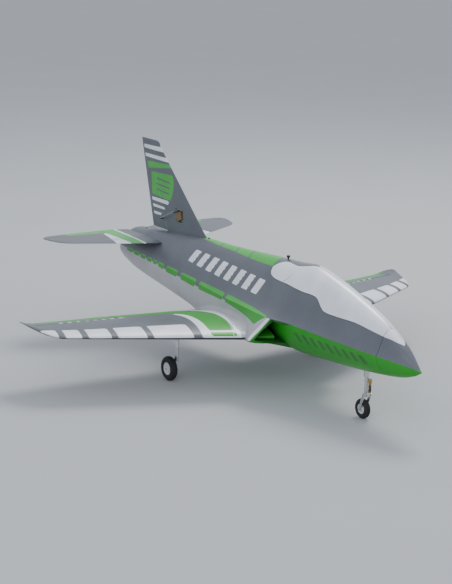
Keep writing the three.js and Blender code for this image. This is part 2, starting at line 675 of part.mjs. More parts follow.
// Tail surfaces.
const tailHeight = 244;
const tailLead = (out) => far(941) + 0.536 * out;
const tailTrail = through([[20, 1150], [70, 1169], [155, 1173], [262, 1175], [271, 1174]]
  .map(([out, aft]) => [out, far(aft)]));
const tailHinge = (out, side) => [at(far(1108) + (out - 40) * 0.18), side * out, tailHeight];

function tailLoft(side) {
  const rings = [20, 80, 140, 200, 262].map((out) => flatFoil(
    foil(tailLead(out), tailTrail(out), 9.5 - out * 0.013), side * out, tailHeight));
  [[268, 1096, 4.5], [271, 1124, 2.5]].forEach(([out, front, thickness]) => {
    rings.push(flatFoil(foil(far(front), tailTrail(out), thickness), side * out, tailHeight));
  });
  return loft(rings);
}

sides.forEach(([name, side]) => {
  const hinge = [tailHinge(40, side), tailHinge(258, side)];
  const elevator = tailLoft(side).intersect(hingeSpace(...hinge, 8));
  place(`${name}_elevator`, cut(elevator, surfaceClear), paint);
  place(`${name}_stabilizer`, cut(tailLoft(side), bodyClear, tailSparHole,
    hingeSpace(...extend(...hinge, hingeGap), 8, hingeGap, 0)), paint);
});

const finTop = 486;
const finLead = (height) => far(816) + 1.131 * (height - 279);
const finTrail = (height) => far(1063) + 0.2707 * (height - 257);
const finHinge = [[at(far(998)), 0, 269], [at(far(1094)), 0, finTop]];

function finLoft() {
  const rings = [240, 300, 360, 420, 474].map((height) => uprightFoil(
    foil(finLead(height), finTrail(height), 14.5 - (height - 240) * 0.028), height));
  [[482, 1050, 6.5], [finTop, 1066, 3.5]].forEach(([height, front, thickness]) => {
    rings.push(uprightFoil(foil(far(front), finTrail(height), thickness), height));
  });
  return loft(rings);
}

const rudderServo = [at(far(948)), 0, 322];
const rudderHorn = pointOn(finHinge, 2, 295.6);
const rudderFrame = frameAt(rudderHorn, finHinge, [0, -1, 0]);
const rudderServoFrame = frameAt(rudderServo, finHinge, [0, -1, 0]);
const longHinge = extend(...finHinge, 40);
const rudder = cut(finLoft().intersect(uprightSpace(...longHinge, 12)), surfaceClear);
place('rudder', join(rudder, hornPiece(rudderFrame, 1.5)), paint);
place('fin', cut(finLoft(), bodyClear, uprightSpace(...longHinge, 12, hingeGap, 0),
  hornSlot(rudderFrame), servoPocket(rudderServoFrame)), paint);
placeServo('rudder', rudderServoFrame, rudderFrame);

// Nose gear: a retract unit, the leg it swings, a steered strut and a trailing fork.
const cheek = 1.8;
const trunnionHalf = 6;
place('nose_retract_unit', cut(join(
  block([noseStrutAft - 42, noseStrutAft - 12], [-11, 11], [nosePivotHeight - 10, nosePivotHeight + 13]),
  ...[1, -1].map((side) => {
    const out = [side * 9.2, side * (9.2 + cheek)].sort((a, b) => a - b);
    return block([noseStrutAft - 13, noseStrutAft + 6], out, [nosePivotHeight - 8, nosePivotHeight + 9]);
  }),
), bar([at(noseStrutAft), -20, nosePivotHeight], [at(noseStrutAft), 20, nosePivotHeight],
  holeRadius(2, runningGap, 12), 12)), darkPlastic);
const sleeveEnd = 96;
const noseLine = (z) => [at(noseStrutAft), 0, z];
place('nose_leg', cut(join(
  block([noseStrutAft - trunnionHalf, noseStrutAft + trunnionHalf], [-8.8, 8.8],
    [nosePivotHeight - 8, nosePivotHeight + 6]),
  bar([at(noseStrutAft), -12, nosePivotHeight], [at(noseStrutAft), 12, nosePivotHeight], 2, 12),
  bar(noseLine(sleeveEnd), noseLine(nosePivotHeight - 7), strutRadius + 2.2, 16),
), bar(noseLine(sleeveEnd - 1), noseLine(nosePivotHeight - 12),
  holeRadius(strutRadius, runningGap, 16), 16)), aluminium);
const noseKnuckle = [at(noseStrutAft - 3), 0, noseKnuckleHeight];
const shockAft = noseStrutAft - 12;
place('nose_strut', cut(join(
  bar(noseLine(noseKnuckleHeight + 5), noseLine(nosePivotHeight - 13), strutRadius, 16),
  block([noseStrutAft - 7, noseStrutAft + 3], [-3, 3], [noseKnuckleHeight - 4, noseKnuckleHeight + 8]),
  block([shockAft - 2, noseStrutAft], [-2.5, 2.5], [88, 94]),
), bar([noseKnuckle[0], -5, noseKnuckle[2]], [noseKnuckle[0], 5, noseKnuckle[2]],
  holeRadius(axleRadius, runningGap, 12), 12)), aluminium);
const shockLine = (z) => [at(shockAft), 0, z];
place('nose_shock', join(
  bar(shockLine(65), shockLine(80), 3, 12),
  bar(shockLine(79.5), shockLine(87.5), 4, 12)),
  { color: 0x6e5a2e, roughness: 0.4, metalness: 0.6 });

// A flat arm between two points of the plane of symmetry, from one out value to another.
function arm(from, to, half, outs) {
  const way = new THREE.Vector2(to[0] - from[0], to[2] - from[2]).normalize().multiplyScalar(half);
  const corners = [[from[0] - way.x - way.y, from[2] - way.y + way.x],
    [from[0] - way.x + way.y, from[2] - way.y - way.x],
    [to[0] + way.x + way.y, to[2] + way.y - way.x],
    [to[0] + way.x - way.y, to[2] + way.y + way.x]];
  const [low, high] = [...outs].sort((a, b) => a - b);
  return prism(corners, 'y', low, high);
}

const acrossY = (point, from, to, radius, segments = 12) => bar([point[0], from, point[2]],
  [point[0], to, point[2]], radius, segments);
const noseAxle = [at(noseWheelAft), 0, noseWheelRadius];
const forkIn = noseWheelWidth / 2 + 1;
const forkOut = forkIn + 2;
place('nose_fork', cut(join(
  arm(noseKnuckle, noseAxle, 3.5, [forkIn, forkOut]),
  arm(noseKnuckle, noseAxle, 3.5, [-forkOut, -forkIn]),
  acrossY(noseKnuckle, -forkOut, forkOut, axleRadius),
), acrossY(noseAxle, -20, 20, holeRadius(axleRadius, fitGap, 12))), aluminium);
place('nose_axle', acrossY(noseAxle, -forkOut - 1.5, forkOut + 1.5, axleRadius), steel);

function placeWheel(name, centre, radius, width, rim) {
  const [x, y, z] = centre;
  const half = width / 2;
  const bore = holeRadius(axleRadius, runningGap, 24);
  const tyre = [[rim, -half * 0.7], [radius * 0.78, -half], [radius * 0.92, -half * 0.82],
    [radius * 0.99, -half * 0.4], [radius, 0], [radius * 0.99, half * 0.4],
    [radius * 0.92, half * 0.82], [radius * 0.78, half], [rim, half * 0.7], [rim, -half * 0.7]];
  const seatRadius = rim * Math.cos(Math.PI / 24) - fitGap;
  const hub = [[bore, -half * 0.75], [seatRadius, -half * 0.75], [seatRadius, half * 0.75],
    [bore, half * 0.75], [bore, -half * 0.75]];
  place(`${name}_tyre`, wheelBody(tyre, x, y, z, 24), rubber);
  place(`${name}_hub`, wheelBody(hub, x, y, z, 24), whitePaint);
}

placeWheel('nose', noseAxle, noseWheelRadius, noseWheelWidth, noseWheelRadius * 0.52);

// Main gear: each leg folds inwards, so its wheel lies in the wing root.
sides.forEach(([name, side]) => {
  const outs = (a, b) => [side * (mainStrutOut + a), side * (mainStrutOut + b)].sort((m, n) => m - n);
  const pivot = [at(mainStrutAft), side * mainStrutOut, mainPivotHeight];
  const pivotLine = (from, to, radius) => bar([at(mainStrutAft + from), pivot[1], pivot[2]],
    [at(mainStrutAft + to), pivot[1], pivot[2]], radius, 12);
  place(`${name}_retract_unit`, cut(join(
    block([mainStrutAft - 12, mainStrutAft + 12], outs(11, 40),
      [mainPivotHeight - 8, mainPivotHeight + 11]),
    block([mainStrutAft - 12, mainStrutAft - 7.3], outs(-6, 12),
      [mainPivotHeight - 7, mainPivotHeight + 8]),
    block([mainStrutAft + 7.3, mainStrutAft + 12], outs(-6, 12),
      [mainPivotHeight - 7, mainPivotHeight + 8]),
  ), pivotLine(-20, 20, holeRadius(2.5, runningGap, 12))), darkPlastic);
  const knuckle = [at(mainStrutAft), side * mainStrutOut, mainKnuckleHeight];
  const down = (z) => [knuckle[0], knuckle[1], z];
  const lug = block([mainStrutAft - 4, mainStrutAft + 4], outs(-3, 3),
    [mainKnuckleHeight - 4, mainKnuckleHeight + 8]);
  place(`${name}_strut`, cut(join(
    block([mainStrutAft - 7, mainStrutAft + 7], outs(-6, 6), [mainPivotHeight - 7, mainPivotHeight + 6]),
    pivotLine(-13, 13, 2.5),
    bar(down(mainKnuckleHeight + 6), down(mainPivotHeight - 6), strutRadius, 16),
    lug,
  ), acrossY(knuckle, ...outs(-6, 6), holeRadius(axleRadius, runningGap, 12))), aluminium);
  const hubCentre = [at(mainWheelAft), side * mainWheelOut, mainWheelRadius];
  place(`${name}_link`, cut(join(
    arm(knuckle, hubCentre, 3.5, outs(3.4, 5.4)),
    acrossY(knuckle, ...outs(-4.5, 3.6), axleRadius),
  ), acrossY(hubCentre, ...outs(0, 9), holeRadius(axleRadius, fitGap, 12))), aluminium);
  const end = mainWheelOut - mainStrutOut + mainWheelWidth / 2 + 1.5;
  place(`${name}_axle`, acrossY(hubCentre, ...outs(3.4, end), axleRadius), steel);
  placeWheel(`${name}`, hubCentre, mainWheelRadius, mainWheelWidth, mainWheelRadius * 0.52);
});

place('wing_spar_tube', bar([at(sparAft), -sparHalfLength, sparHeight],
  [at(sparAft), sparHalfLength, sparHeight], sparRadius, 12), carbon);
place('tail_spar_tube', bar([at(tailSparAft), -tailSparHalf, tailSparHeight],
  [at(tailSparAft), tailSparHalf, tailSparHeight], tailSparRadius, 8), carbon);

export default group;
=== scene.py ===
import math

import bmesh
import bpy
import numpy as np
from mathutils import Matrix, Vector


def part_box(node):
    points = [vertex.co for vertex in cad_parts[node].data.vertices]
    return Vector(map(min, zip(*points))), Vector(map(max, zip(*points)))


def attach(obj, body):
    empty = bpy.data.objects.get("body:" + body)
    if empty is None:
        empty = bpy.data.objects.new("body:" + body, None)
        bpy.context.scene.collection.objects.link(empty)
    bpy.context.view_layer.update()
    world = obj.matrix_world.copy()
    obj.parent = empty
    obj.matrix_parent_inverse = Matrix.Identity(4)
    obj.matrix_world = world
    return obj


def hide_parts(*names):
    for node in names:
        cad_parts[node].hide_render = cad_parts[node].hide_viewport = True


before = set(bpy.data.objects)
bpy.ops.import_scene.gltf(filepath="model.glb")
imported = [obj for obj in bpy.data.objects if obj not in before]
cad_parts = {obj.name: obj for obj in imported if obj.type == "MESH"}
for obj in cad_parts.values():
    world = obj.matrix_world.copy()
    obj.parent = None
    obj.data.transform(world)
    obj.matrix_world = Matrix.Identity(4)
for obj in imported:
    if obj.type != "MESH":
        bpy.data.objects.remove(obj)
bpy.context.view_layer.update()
print("frame loaded:", len(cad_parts), "nodes")

# A ducted-fan jet. The lines below are in millimetres: "aft" is measured from the nose tip,
# "out" from the plane of symmetry, "up" from the ground. Meshes are in metres.
plan = {"noseX": 587.5, "tailEnd": 1157, "noseSeam": 100.3, "hatchRear": 492}
flankLength = 120  # mm of skin that the t of the upper skin runs over, near enough for a gap
nowhere = -9  # the signed distance of a paint that shows nowhere
sides = ((1, "left"), (-1, "right"))


def through(knots):
    # smooth line: cubic pieces, and each point's slope is that of the line joining its neighbours
    place = np.array(knots, float)
    before = np.clip(np.arange(len(place)) - 1, 0, None)
    after = np.clip(np.arange(len(place)) + 1, None, len(place) - 1)
    slope = (place[after, 1] - place[before, 1]) / (place[after, 0] - place[before, 0])

    def line(aft):
        aft = np.asarray(aft, float)
        i = np.clip(np.searchsorted(place[:, 0], aft) - 1, 0, len(place) - 2)
        span = place[i + 1, 0] - place[i, 0]
        t = np.clip((aft - place[i, 0]) / span, 0, 1)
        level = place[i, 1] + (place[i + 1, 1] - place[i, 1]) * t * t * (3 - 2 * t)
        return level + slope[i] * span * t * (1 - t) ** 2 - slope[i + 1] * span * t * t * (1 - t)

    return line


def bezier(corners, t):
    # Bernstein sum of three or four (out, up) corners
    s = 1 - t
    share = [s * s, 2 * s * t, t * t] if len(corners) == 3 else [s**3, 3 * s * s * t, 3 * s * t * t, t**3]
    return [sum(w * corner[axis] for w, corner in zip(share, corners)) for axis in (0, 1)]


def blend(low, high, x):
    # smooth step from 0 at low to 1 at high
    t = np.clip((np.asarray(x, float) - low) / (high - low), 0, 1)
    return t * t * (3 - 2 * t)


fuselage = {
    "top": [[0, 150.5], [20, 165], [60, 193], [122, 228], [210, 260], [293, 284], [365, 298.5],
            [430, 294], [501, 291], [605, 285], [714, 280], [816, 278], [940, 269], [1063, 257],
            [1110, 253], [1141, 249], [1157, 240]],
    "chineOut": [[0, 1.5], [18, 9], [60, 26], [138, 47], [210, 58], [284, 68], [364, 80], [404, 93],
                 [430, 95], [520, 86], [654, 74], [803, 66], [960, 58], [1110, 50], [1157, 44]],
    "chineUp": [[0, 149], [18, 155], [60, 162], [138, 169], [284, 177], [404, 184], [654, 186],
                [803, 195], [1110, 206], [1157, 206]],
    "belly": [[0, 147.5], [20, 137], [66, 125], [143, 115], [225, 108], [391, 100], [450, 103],
              [520, 110], [600, 122]],
    "crown": [[0, 1], [60, 17], [210, 36], [365, 48], [501, 40], [605, 34], [816, 24], [1063, 22],
              [1157, 30]],
    "waist": [[0, 1.2], [60, 19], [210, 34], [365, 44], [430, 50], [520, 56], [803, 56], [1110, 46],
              [1157, 41]],
    "waistShare": [[0, 0.3], [210, 0.18], [430, 0.14], [605, 0.25], [803, 0.35], [1157, 0.5]],
    "rootOut": [[404, 124], [430, 130], [470, 118], [520, 98], [580, 80], [640, 70], [735, 66],
                [800, 61], [917, 53], [1067, 45], [1157, 38]],
    "rootUp": [[404, 134], [430, 133], [480, 124], [540, 117], [640, 115], [735, 120], [800, 135],
               [917, 148], [1067, 165], [1157, 183]],
    "keel": [[404, 118], [540, 113], [740, 114], [845, 123], [917, 131], [1067, 148], [1113, 155],
             [1157, 168]],
    "bulge": [[404, 0], [600, 1], [800, 4], [1157, 4]],
    "lowOut": [[335, 75.7], [370, 78], [404, 76], [470, 58], [540, 34], [592, 10]],
    "lean": [[404, 26], [424, 10.4], [450, 0], [470, 0]],
    "hatchEdge": [[100, 203], [128, 208], [180, 216], [240, 218], [276, 221], [290, 229],
                  [304, 241], [318, 246], [360, 248], [413, 253], [462, 255], [480, 259],
                  [489, 265], [492.5, 275]],
}
lines = {name: through(points) for name, points in fuselage.items()}


def upperSkin(aft, t, grow=0):
    # cubic from the top centre (t = 0), over a round crown and down a flare to the chine (t = 1)
    top, out, up = lines["top"](aft) + grow, lines["chineOut"](aft) + grow, lines["chineUp"](aft)
    waistUp = up + lines["waistShare"](aft) * (top - up)
    return bezier([[0, top], [lines["crown"](aft) + grow, top], [lines["waist"](aft) + grow, waistUp],
                   [out, up]], t)


def lowerFront(aft, t, grow=0):
    # cubic from the chine to the belly; behind the intakes it narrows to the wedge between the ducts
    out = np.where(aft < 335, lines["chineOut"](aft), lines["lowOut"](aft)) + grow
    up, low = lines["chineUp"](aft), lines["belly"](aft) - grow
    return bezier([[out, up], [0.92 * out, up - 0.45 * (up - low)], [0.55 * out, low], [0, low]], t)


def lowerRear(aft, t, grow=0):
    # t to 0.4 is the side from chine to wing root corner, and the rest turns under to the keel
    out, up = lines["chineOut"](aft) + grow, lines["chineUp"](aft)
    rootOut, rootUp = lines["rootOut"](aft) + grow, lines["rootUp"](aft) - grow / 2
    low = lines["keel"](aft) - grow
    side = bezier([[out, up], [(out + rootOut) / 2 + 2 * lines["bulge"](aft), (up + rootUp) / 2],
                   [rootOut, rootUp]], np.clip(t / 0.4, 0, 1))
    under = bezier([[rootOut, rootUp], [rootOut - 2, rootUp - 0.6 * (rootUp - low)], [0.6 * rootOut, low],
                    [0, low]], np.clip((t - 0.4) / 0.6, 0, 1))
    return [np.where(t <= 0.4, a, b) for a, b in zip(side, under)]


def hatchShare(aft):
    # the t of the upper skin at the hatch's edge, found by halving
    low, high = np.zeros_like(aft), np.ones_like(aft)
    for _ in range(40):
        middle = (low + high) / 2
        above = upperSkin(aft, middle)[1] > lines["hatchEdge"](aft)
        low, high = np.where(above, middle, low), np.where(above, high, middle)
    return low


# Meshes.
def points(aft, out, up):
    aft, out, up = np.broadcast_arrays(aft, out, up)
    return np.stack([plan["noseX"] - aft, out, up], -1) / 1000


def gridFaces(rows, columns, around=False):
    # quads between neighbours of a rows x columns grid, closed round the columns if asked
    index = np.arange(rows * columns).reshape(rows, columns)
    if around:
        index = np.concatenate([index, index[:, :1]], 1)
    return np.stack([index[:-1, :-1], index[1:, :-1], index[1:, 1:], index[:-1, 1:]], -1).reshape(-1, 4)


def tidyMesh(mesh, merge, inward):
    # joins seams and poles, and turns all faces out from (or in to) the middle of the piece
    build = bmesh.new()
    build.from_mesh(mesh)
    bmesh.ops.remove_doubles(build, verts=build.verts, dist=merge)
    bmesh.ops.dissolve_degenerate(build, edges=build.edges, dist=merge / 2)
    bmesh.ops.recalc_face_normals(build, faces=build.faces)
    centre = sum((vert.co for vert in build.verts), Vector()) / len(build.verts)
    facing = sum(face.calc_area() * face.normal.dot(face.calc_center_median() - centre)
                 for face in build.faces)
    if (facing < 0) != inward:
        bmesh.ops.reverse_faces(build, faces=build.faces)
    build.to_mesh(mesh)
    build.free()


def meshFrom(name, grids, around, mirrored, caps, merge, inward):
    # one mesh from point grids, each with its mirror copy and end caps as asked
    verts, faces, start = [], [], 0
    for grid in grids:
        rows, columns = grid.shape[:2]
        quads = gridFaces(rows, columns, around)
        copies = [(grid, quads)]
        if mirrored:
            copies.append((grid * [1, -1, 1], quads[:, ::-1]))
        for place, quad in copies:
            verts.append(place.reshape(-1, 3))
            faces += (quad + start).tolist()
            if caps:
                faces.append([start + i for i in range(columns)][::-1])
                faces.append([start + (rows - 1) * columns + i for i in range(columns)])
            start += rows * columns
    mesh = bpy.data.meshes.new(name)
    mesh.from_pydata(np.concatenate(verts).tolist(), [], faces)
    tidyMesh(mesh, merge, inward)
    return mesh


def addPiece(name, grids, material, body, around=False, mirrored=False, caps=False, wall=0, inward=False,
             merge=2e-5, angle=32, rule=None, cutters=(), bevel=0, replaces=()):
    # one object from point grids, thickened, cut, softened and painted as asked; lengths in mm
    mesh = meshFrom(name, grids, around, mirrored, caps, merge, inward)
    piece = bpy.data.objects.new(name, mesh)
    bpy.context.scene.collection.objects.link(piece)
    if rule is not None:
        paintFields(mesh, rule)
    if wall:
        thicken = piece.modifiers.new("wall", "SOLIDIFY")
        thicken.thickness, thicken.offset, thicken.use_even_offset = wall / 1000, -1, True
    for cutter in cutters:
        carve = piece.modifiers.new("cut", "BOOLEAN")
        carve.object, carve.operation, carve.solver = cutter, "DIFFERENCE", "MANIFOLD"
    if bevel:
        soften = piece.modifiers.new("edge", "BEVEL")
        soften.width, soften.segments, soften.limit_method = bevel / 1000, 2, "ANGLE"
        soften.angle_limit = math.radians(40)
    if piece.modifiers:
        settledPiece = piece.evaluated_get(bpy.context.evaluated_depsgraph_get())
        settled = bpy.data.meshes.new_from_object(settledPiece)
        piece.modifiers.clear()
        piece.data = settled
        bpy.data.meshes.remove(mesh)
        settled.name = name
    piece.data.materials.clear()
    piece.data.materials.append(material)
    piece.data.shade_smooth()
    piece.data.set_sharp_from_angle(angle=math.radians(angle))
    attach(piece, body)
    if replaces:
        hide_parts(*replaces)
    return piece


def paintFields(mesh, rule):
    # each paint is a signed distance in mm on the vertices, and the paint shows where it is over 0
    place = np.empty(len(mesh.vertices) * 3)
    mesh.vertices.foreach_get("co", place)
    place = place.reshape(-1, 3) * 1000
    facing = np.empty(len(mesh.vertices) * 3)
    mesh.vertex_normals.foreach_get("vector", facing)
    for name, field in rule(plan["noseX"] - place[:, 0], np.abs(place[:, 1]), place[:, 2],
                            facing.reshape(-1, 3)).items():
        layer = mesh.attributes.new(name, "FLOAT", "POINT")
        layer.data.foreach_set("value", np.clip(field, -60, 60).astype(np.float32))


def turned(profile, origin, along, count=48):
    # (radius, distance) pairs spun about the line through origin in the direction of along
    profile = np.array(profile, float)
    along = np.array(along, float) / np.linalg.norm(along)
    side = np.cross(along, [0.3, 0.5, 0.81])
    side /= np.linalg.norm(side)
    other = np.cross(along, side)
    turn = np.linspace(0, 2 * np.pi, count, endpoint=False)[None, :, None]
    reach = profile[:, 0][:, None, None] * (np.cos(turn) * side + np.sin(turn) * other)
    return np.array(origin) + profile[:, 1][:, None, None] * along + reach


def tube(path, radius, count=12):
    # circle of the given radius carried square along a path of points
    path = np.array(path, float)
    way = np.gradient(path, axis=0)
    way /= np.linalg.norm(way, axis=1, keepdims=True)
    side = np.cross(way, [0.21, 0.17, 0.96])
    side /= np.linalg.norm(side, axis=1, keepdims=True)
    other = np.cross(way, side)
    turn = np.linspace(0, 2 * np.pi, count, endpoint=False)[None, :, None]
    radius = np.broadcast_to(np.asarray(radius, float), (len(path),))[:, None, None]
    return path[:, None] + radius * (np.cos(turn) * side[:, None] + np.sin(turn) * other[:, None])


def blockGrid(low, high):
    # the four upright sides of a box as a closed grid, its ends capped by the caller
    x0, y0, z0 = low
    x1, y1, z1 = high
    ring = np.array([[x0, y0], [x1, y0], [x1, y1], [x0, y1]])
    return np.stack([np.column_stack([ring, np.full(4, z)]) for z in (z0, z1)])


cuttingTools = []


def cutterFrom(name, grids):
    # a closed tool for a cut, taken away once the cuts are made
    mesh = meshFrom(name, grids, around=True, mirrored=False, caps=True, merge=1e-6, inward=False)
    tool = bpy.data.objects.new(name, mesh)
    bpy.context.scene.collection.objects.link(tool)
    tool.hide_render = True
    cuttingTools.append(tool)
    return tool


# Finishes.
class Graph:
    # a short way to lay out one material's nodes
    def __init__(self, name):
        self.material = bpy.data.materials.new(name)
        self.material.use_nodes = True
        self.nodes, self.links = self.material.node_tree.nodes, self.material.node_tree.links
        self.shader = self.nodes["Principled BSDF"]
        self.place = self.nodes.new("ShaderNodeTexCoord").outputs["Object"]

    def node(self, kind, inputs=None, **settings):
        node = self.nodes.new("ShaderNode" + kind)
        for key, value in settings.items():
            setattr(node, key, value)
        for key, value in (inputs or {}).items():
            self.feed(node.inputs[key], value)
        return node

    def feed(self, socket, value):
        if isinstance(value, bpy.types.NodeSocket):
            self.links.new(value, socket)
        else:
            socket.default_value = value

    def noise(self, scale, detail=3, rough=0.5):
        return self.node("TexNoise", {"Vector": self.place, "Scale": scale, "Detail": detail,
                                      "Roughness": rough}).outputs["Fac"]

    def span(self, value, low, high, start=0, end=1):
        return self.node("MapRange", {"Value": value, "From Min": low, "From Max": high, "To Min": start,
                                      "To Max": end}).outputs["Result"]

    def painted(self, field, edge=0.15):
        # 1 where the piece's signed distance is over 0, with a paint edge of twice the given width in mm
        return self.span(self.node("Attribute", attribute_name=field).outputs["Fac"], -edge, edge)

    def mix(self, share, first, second):
        node = self.node("Mix", data_type="RGBA")
        self.feed(node.inputs["Factor"], share)
        for socket, value in ((node.inputs[6], first), (node.inputs[7], second)):
            self.feed(socket, value if isinstance(value, bpy.types.NodeSocket) else (*value, 1))
        return node.outputs[2]

    def bump(self, height, distance, strength=1, under=None):
        inputs = {"Height": height, "Distance": distance, "Strength": strength}
        if under is not None:
            inputs["Normal"] = under
        return self.node("Bump", inputs).outputs["Normal"]

    def beads(self, size):
        # the skin of moulded foam: flat cells with shallow joints
        cell = self.node("TexVoronoi", {"Vector": self.place, "Scale": 1 / size, "Smoothness": 0.6},
                         feature="SMOOTH_F1")
        return self.span(cell.outputs["Distance"], 0.25, 0.75, 1, 0)


# The lighter of the two greens is the green lightened as a painted sky glare, for the upper body and the tail.
paints = {
    "grey": (0.108, 0.118, 0.138), "silver": (0.40, 0.405, 0.425), "green": (0.014, 0.30, 0.008),
    # dark paints the canopy seams, and also painted shade under the wing's and tail's leading edges
    "lime": (0.045, 0.42, 0.045), "white": (0.80, 0.82, 0.86), "dark": (0.035, 0.037, 0.042),
    "bellyBar": (0.03, 0.13, 0.035),
}
beadSize = 0.0034  # metres across one bead of the foam


def shades(color, low, high):
    # the darker and the lighter tone that a coat wanders between
    return tuple(low * v for v in color), tuple(min(1, high * v) for v in color)


def paintedFoam(name, base, layers, rough=(0.36, 0.5), metal=0.12, coat=0.2):
    # sprayed coats over bead foam; each later layer covers the earlier ones
    graph = Graph(name)
    wear = graph.span(graph.noise(22, 4), 0.35, 0.65)
    color = graph.mix(wear, *shades(paints[base], 0.93, 1.05))
    for field, tint in layers:
        tone = graph.mix(wear, *shades(paints[tint], 0.93, 1.04))
        color = graph.mix(graph.painted(field), color, tone)
    graph.feed(graph.shader.inputs["Base Color"], color)
    speck = graph.noise(900, 2)
    graph.feed(graph.shader.inputs["Roughness"], graph.span(speck, 0.3, 0.7, *rough))
    graph.shader.inputs["Metallic"].default_value = metal
    graph.shader.inputs["Coat Weight"].default_value = coat
    graph.shader.inputs["Coat Roughness"].default_value = 0.3
    skin = graph.bump(graph.beads(beadSize), 0.00012, 0.5)
    graph.feed(graph.shader.inputs["Normal"], graph.bump(speck, 0.00002, 0.35, skin))
    return graph.material


def plainFinish(name, color, rough, metal=0.0, grain=60, depth=0.00004, vary=0.12, roughVary=0.1,
                stretch=None, coat=0):
    # one colour with its own mottle, uneven gloss and fine surface, stretched along an axis if brushed
    graph = Graph(name)
    if stretch:
        graph.place = graph.node("Mapping", {"Vector": graph.place, "Scale": stretch}).outputs["Vector"]
    mottle, fine = graph.noise(grain, 4), graph.noise(grain * 9, 2)
    low, high = (tuple(min(1, k * v) for v in color) for k in (1 - vary, 1 + vary))
    graph.feed(graph.shader.inputs["Base Color"], graph.mix(graph.span(mottle, 0.3, 0.7), low, high))
    gloss = graph.span(fine, 0.3, 0.7, rough - roughVary, rough + roughVary)
    graph.feed(graph.shader.inputs["Roughness"], gloss)
    graph.shader.inputs["Metallic"].default_value = metal
    graph.shader.inputs["Coat Weight"].default_value = coat
    graph.feed(graph.shader.inputs["Normal"], graph.bump(fine, depth, 0.6))
    return graph.material


def wovenCarbon():
    # twill: crossing tows lit by turns, under clear resin
    graph = Graph("wovenCarbon")
    first, second = [
        graph.node("TexWave", {"Vector": graph.place, "Scale": 60, "Distortion": 0.2},
                   bands_direction=way).outputs["Fac"] for way in ("DIAGONAL", "X")]
    weave = graph.node("Math", {0: first, 1: second}, operation="MULTIPLY").outputs["Value"]
    color = graph.mix(weave, (0.012, 0.012, 0.014), (0.05, 0.052, 0.058))
    graph.feed(graph.shader.inputs["Base Color"], color)
    graph.feed(graph.shader.inputs["Roughness"], graph.span(weave, 0, 1, 0.28, 0.45))
    graph.shader.inputs["Coat Weight"].default_value = 0.4
    graph.feed(graph.shader.inputs["Normal"], graph.bump(weave, 0.0001, 0.5))
    return graph.material


def woodPly():
    # pale wood with its grain drawn out along the body
    graph = Graph("birchPly")
    graph.place = graph.node("Mapping", {"Vector": graph.place, "Scale": (0.12, 1, 1)}).outputs["Vector"]
    grain = graph.noise(260, 5, 0.65)
    color = graph.mix(graph.span(grain, 0.3, 0.7), (0.50, 0.34, 0.17), (0.70, 0.53, 0.31))
    graph.feed(graph.shader.inputs["Base Color"], color)
    graph.feed(graph.shader.inputs["Roughness"], graph.span(grain, 0, 1, 0.6, 0.85))
    graph.feed(graph.shader.inputs["Normal"], graph.bump(grain, 0.0002, 0.4))
    return graph.material


def rawFoam():
    # unpainted beads inside the body, and low down the green overspray of ducts and belly, partly real green and
    # darkened as painted duct shade
    graph = Graph("rawFoam")
    height = graph.node("SeparateXYZ", {"Vector": graph.place}).outputs["Z"]
    grain = graph.noise(180, 4)
    sprayed = graph.span(height, 0.1860, 0.1862, 1, 0)
    # the low green is darkened like the duct green, a painted shade
    color = graph.mix(sprayed, (0.055, 0.058, 0.062), (0.012, 0.12, 0.008))
    dusted = graph.mix(graph.span(grain, 0.3, 0.7, 0, 0.2), color, (0.02, 0.03, 0.02))
    graph.feed(graph.shader.inputs["Base Color"], dusted)
    graph.feed(graph.shader.inputs["Roughness"], graph.span(grain, 0.3, 0.7, 0.6, 0.8))
    graph.feed(graph.shader.inputs["Normal"], graph.bump(graph.beads(beadSize), 0.0003, 0.6))
    return graph.material


# The upper body and the tail take the lighter green, a painted glare; the wing, sides and nose take the plain
# green.
finish = {
    "upper": paintedFoam("upperPaint", "grey", [("green", "lime"), ("white", "white")]),
    "belly": paintedFoam("bellyPaint", "green", [("dark", "bellyBar")], (0.34, 0.46), 0.0, 0.12),
    "side": paintedFoam("sidePaint", "silver", [("grey", "grey"), ("green", "green"), ("white", "white")]),
    "nose": paintedFoam("nosePaint", "grey", [("green", "green"), ("white", "white")]),
    "canopy": paintedFoam("canopyPaint", "white", [("grey", "grey"), ("dark", "dark")], (0.22, 0.34), 0.0,
                          0.4),
    "wing": paintedFoam("wingPaint", "grey", [("silver", "silver"), ("green", "green"), ("white", "white"),
                                              ("dark", "dark")]),
    "tail": paintedFoam("tailPaint", "grey", [("green", "lime"), ("white", "white"), ("dark", "dark")]),
    "rawFoam": rawFoam(),
    # the duct green is the green paint darkened as painted shade inside the ducts and under the intake decks
    "ductPaint": plainFinish("ductPaint", (0.016, 0.13, 0.012), 0.5, grain=40, coat=0.1),
    "black": plainFinish("blackPlastic", (0.018, 0.018, 0.02), 0.5, grain=200),
    "alloy": plainFinish("brushedAlloy", (0.62, 0.62, 0.63), 0.34, 1.0, grain=90, stretch=(1, 1, 0.08),
                         vary=0.06),
    "steel": plainFinish("steelRod", (0.55, 0.56, 0.58), 0.28, 1.0, grain=120, vary=0.05),
    "rubber": plainFinish("tyreRubber", (0.014, 0.014, 0.015), 0.78, grain=300, depth=0.00008, vary=0.25),
    "hub": plainFinish("hubPlastic", (0.66, 0.68, 0.70), 0.38, grain=80, vary=0.05, coat=0.2),
    "servo": plainFinish("servoCase", (0.16, 0.085, 0.025), 0.42, grain=150, coat=0.3),
    "brass": plainFinish("shockBrass", (0.34, 0.23, 0.075), 0.32, 1.0, grain=140, stretch=(1, 1, 0.15)),
    "wrap": plainFinish("batteryWrap", (0.02, 0.035, 0.07), 0.3, grain=30, coat=0.5, vary=0.2),
    "carbon": wovenCarbon(), "ply": woodPly(),
}
print("finishes made:", len(finish))


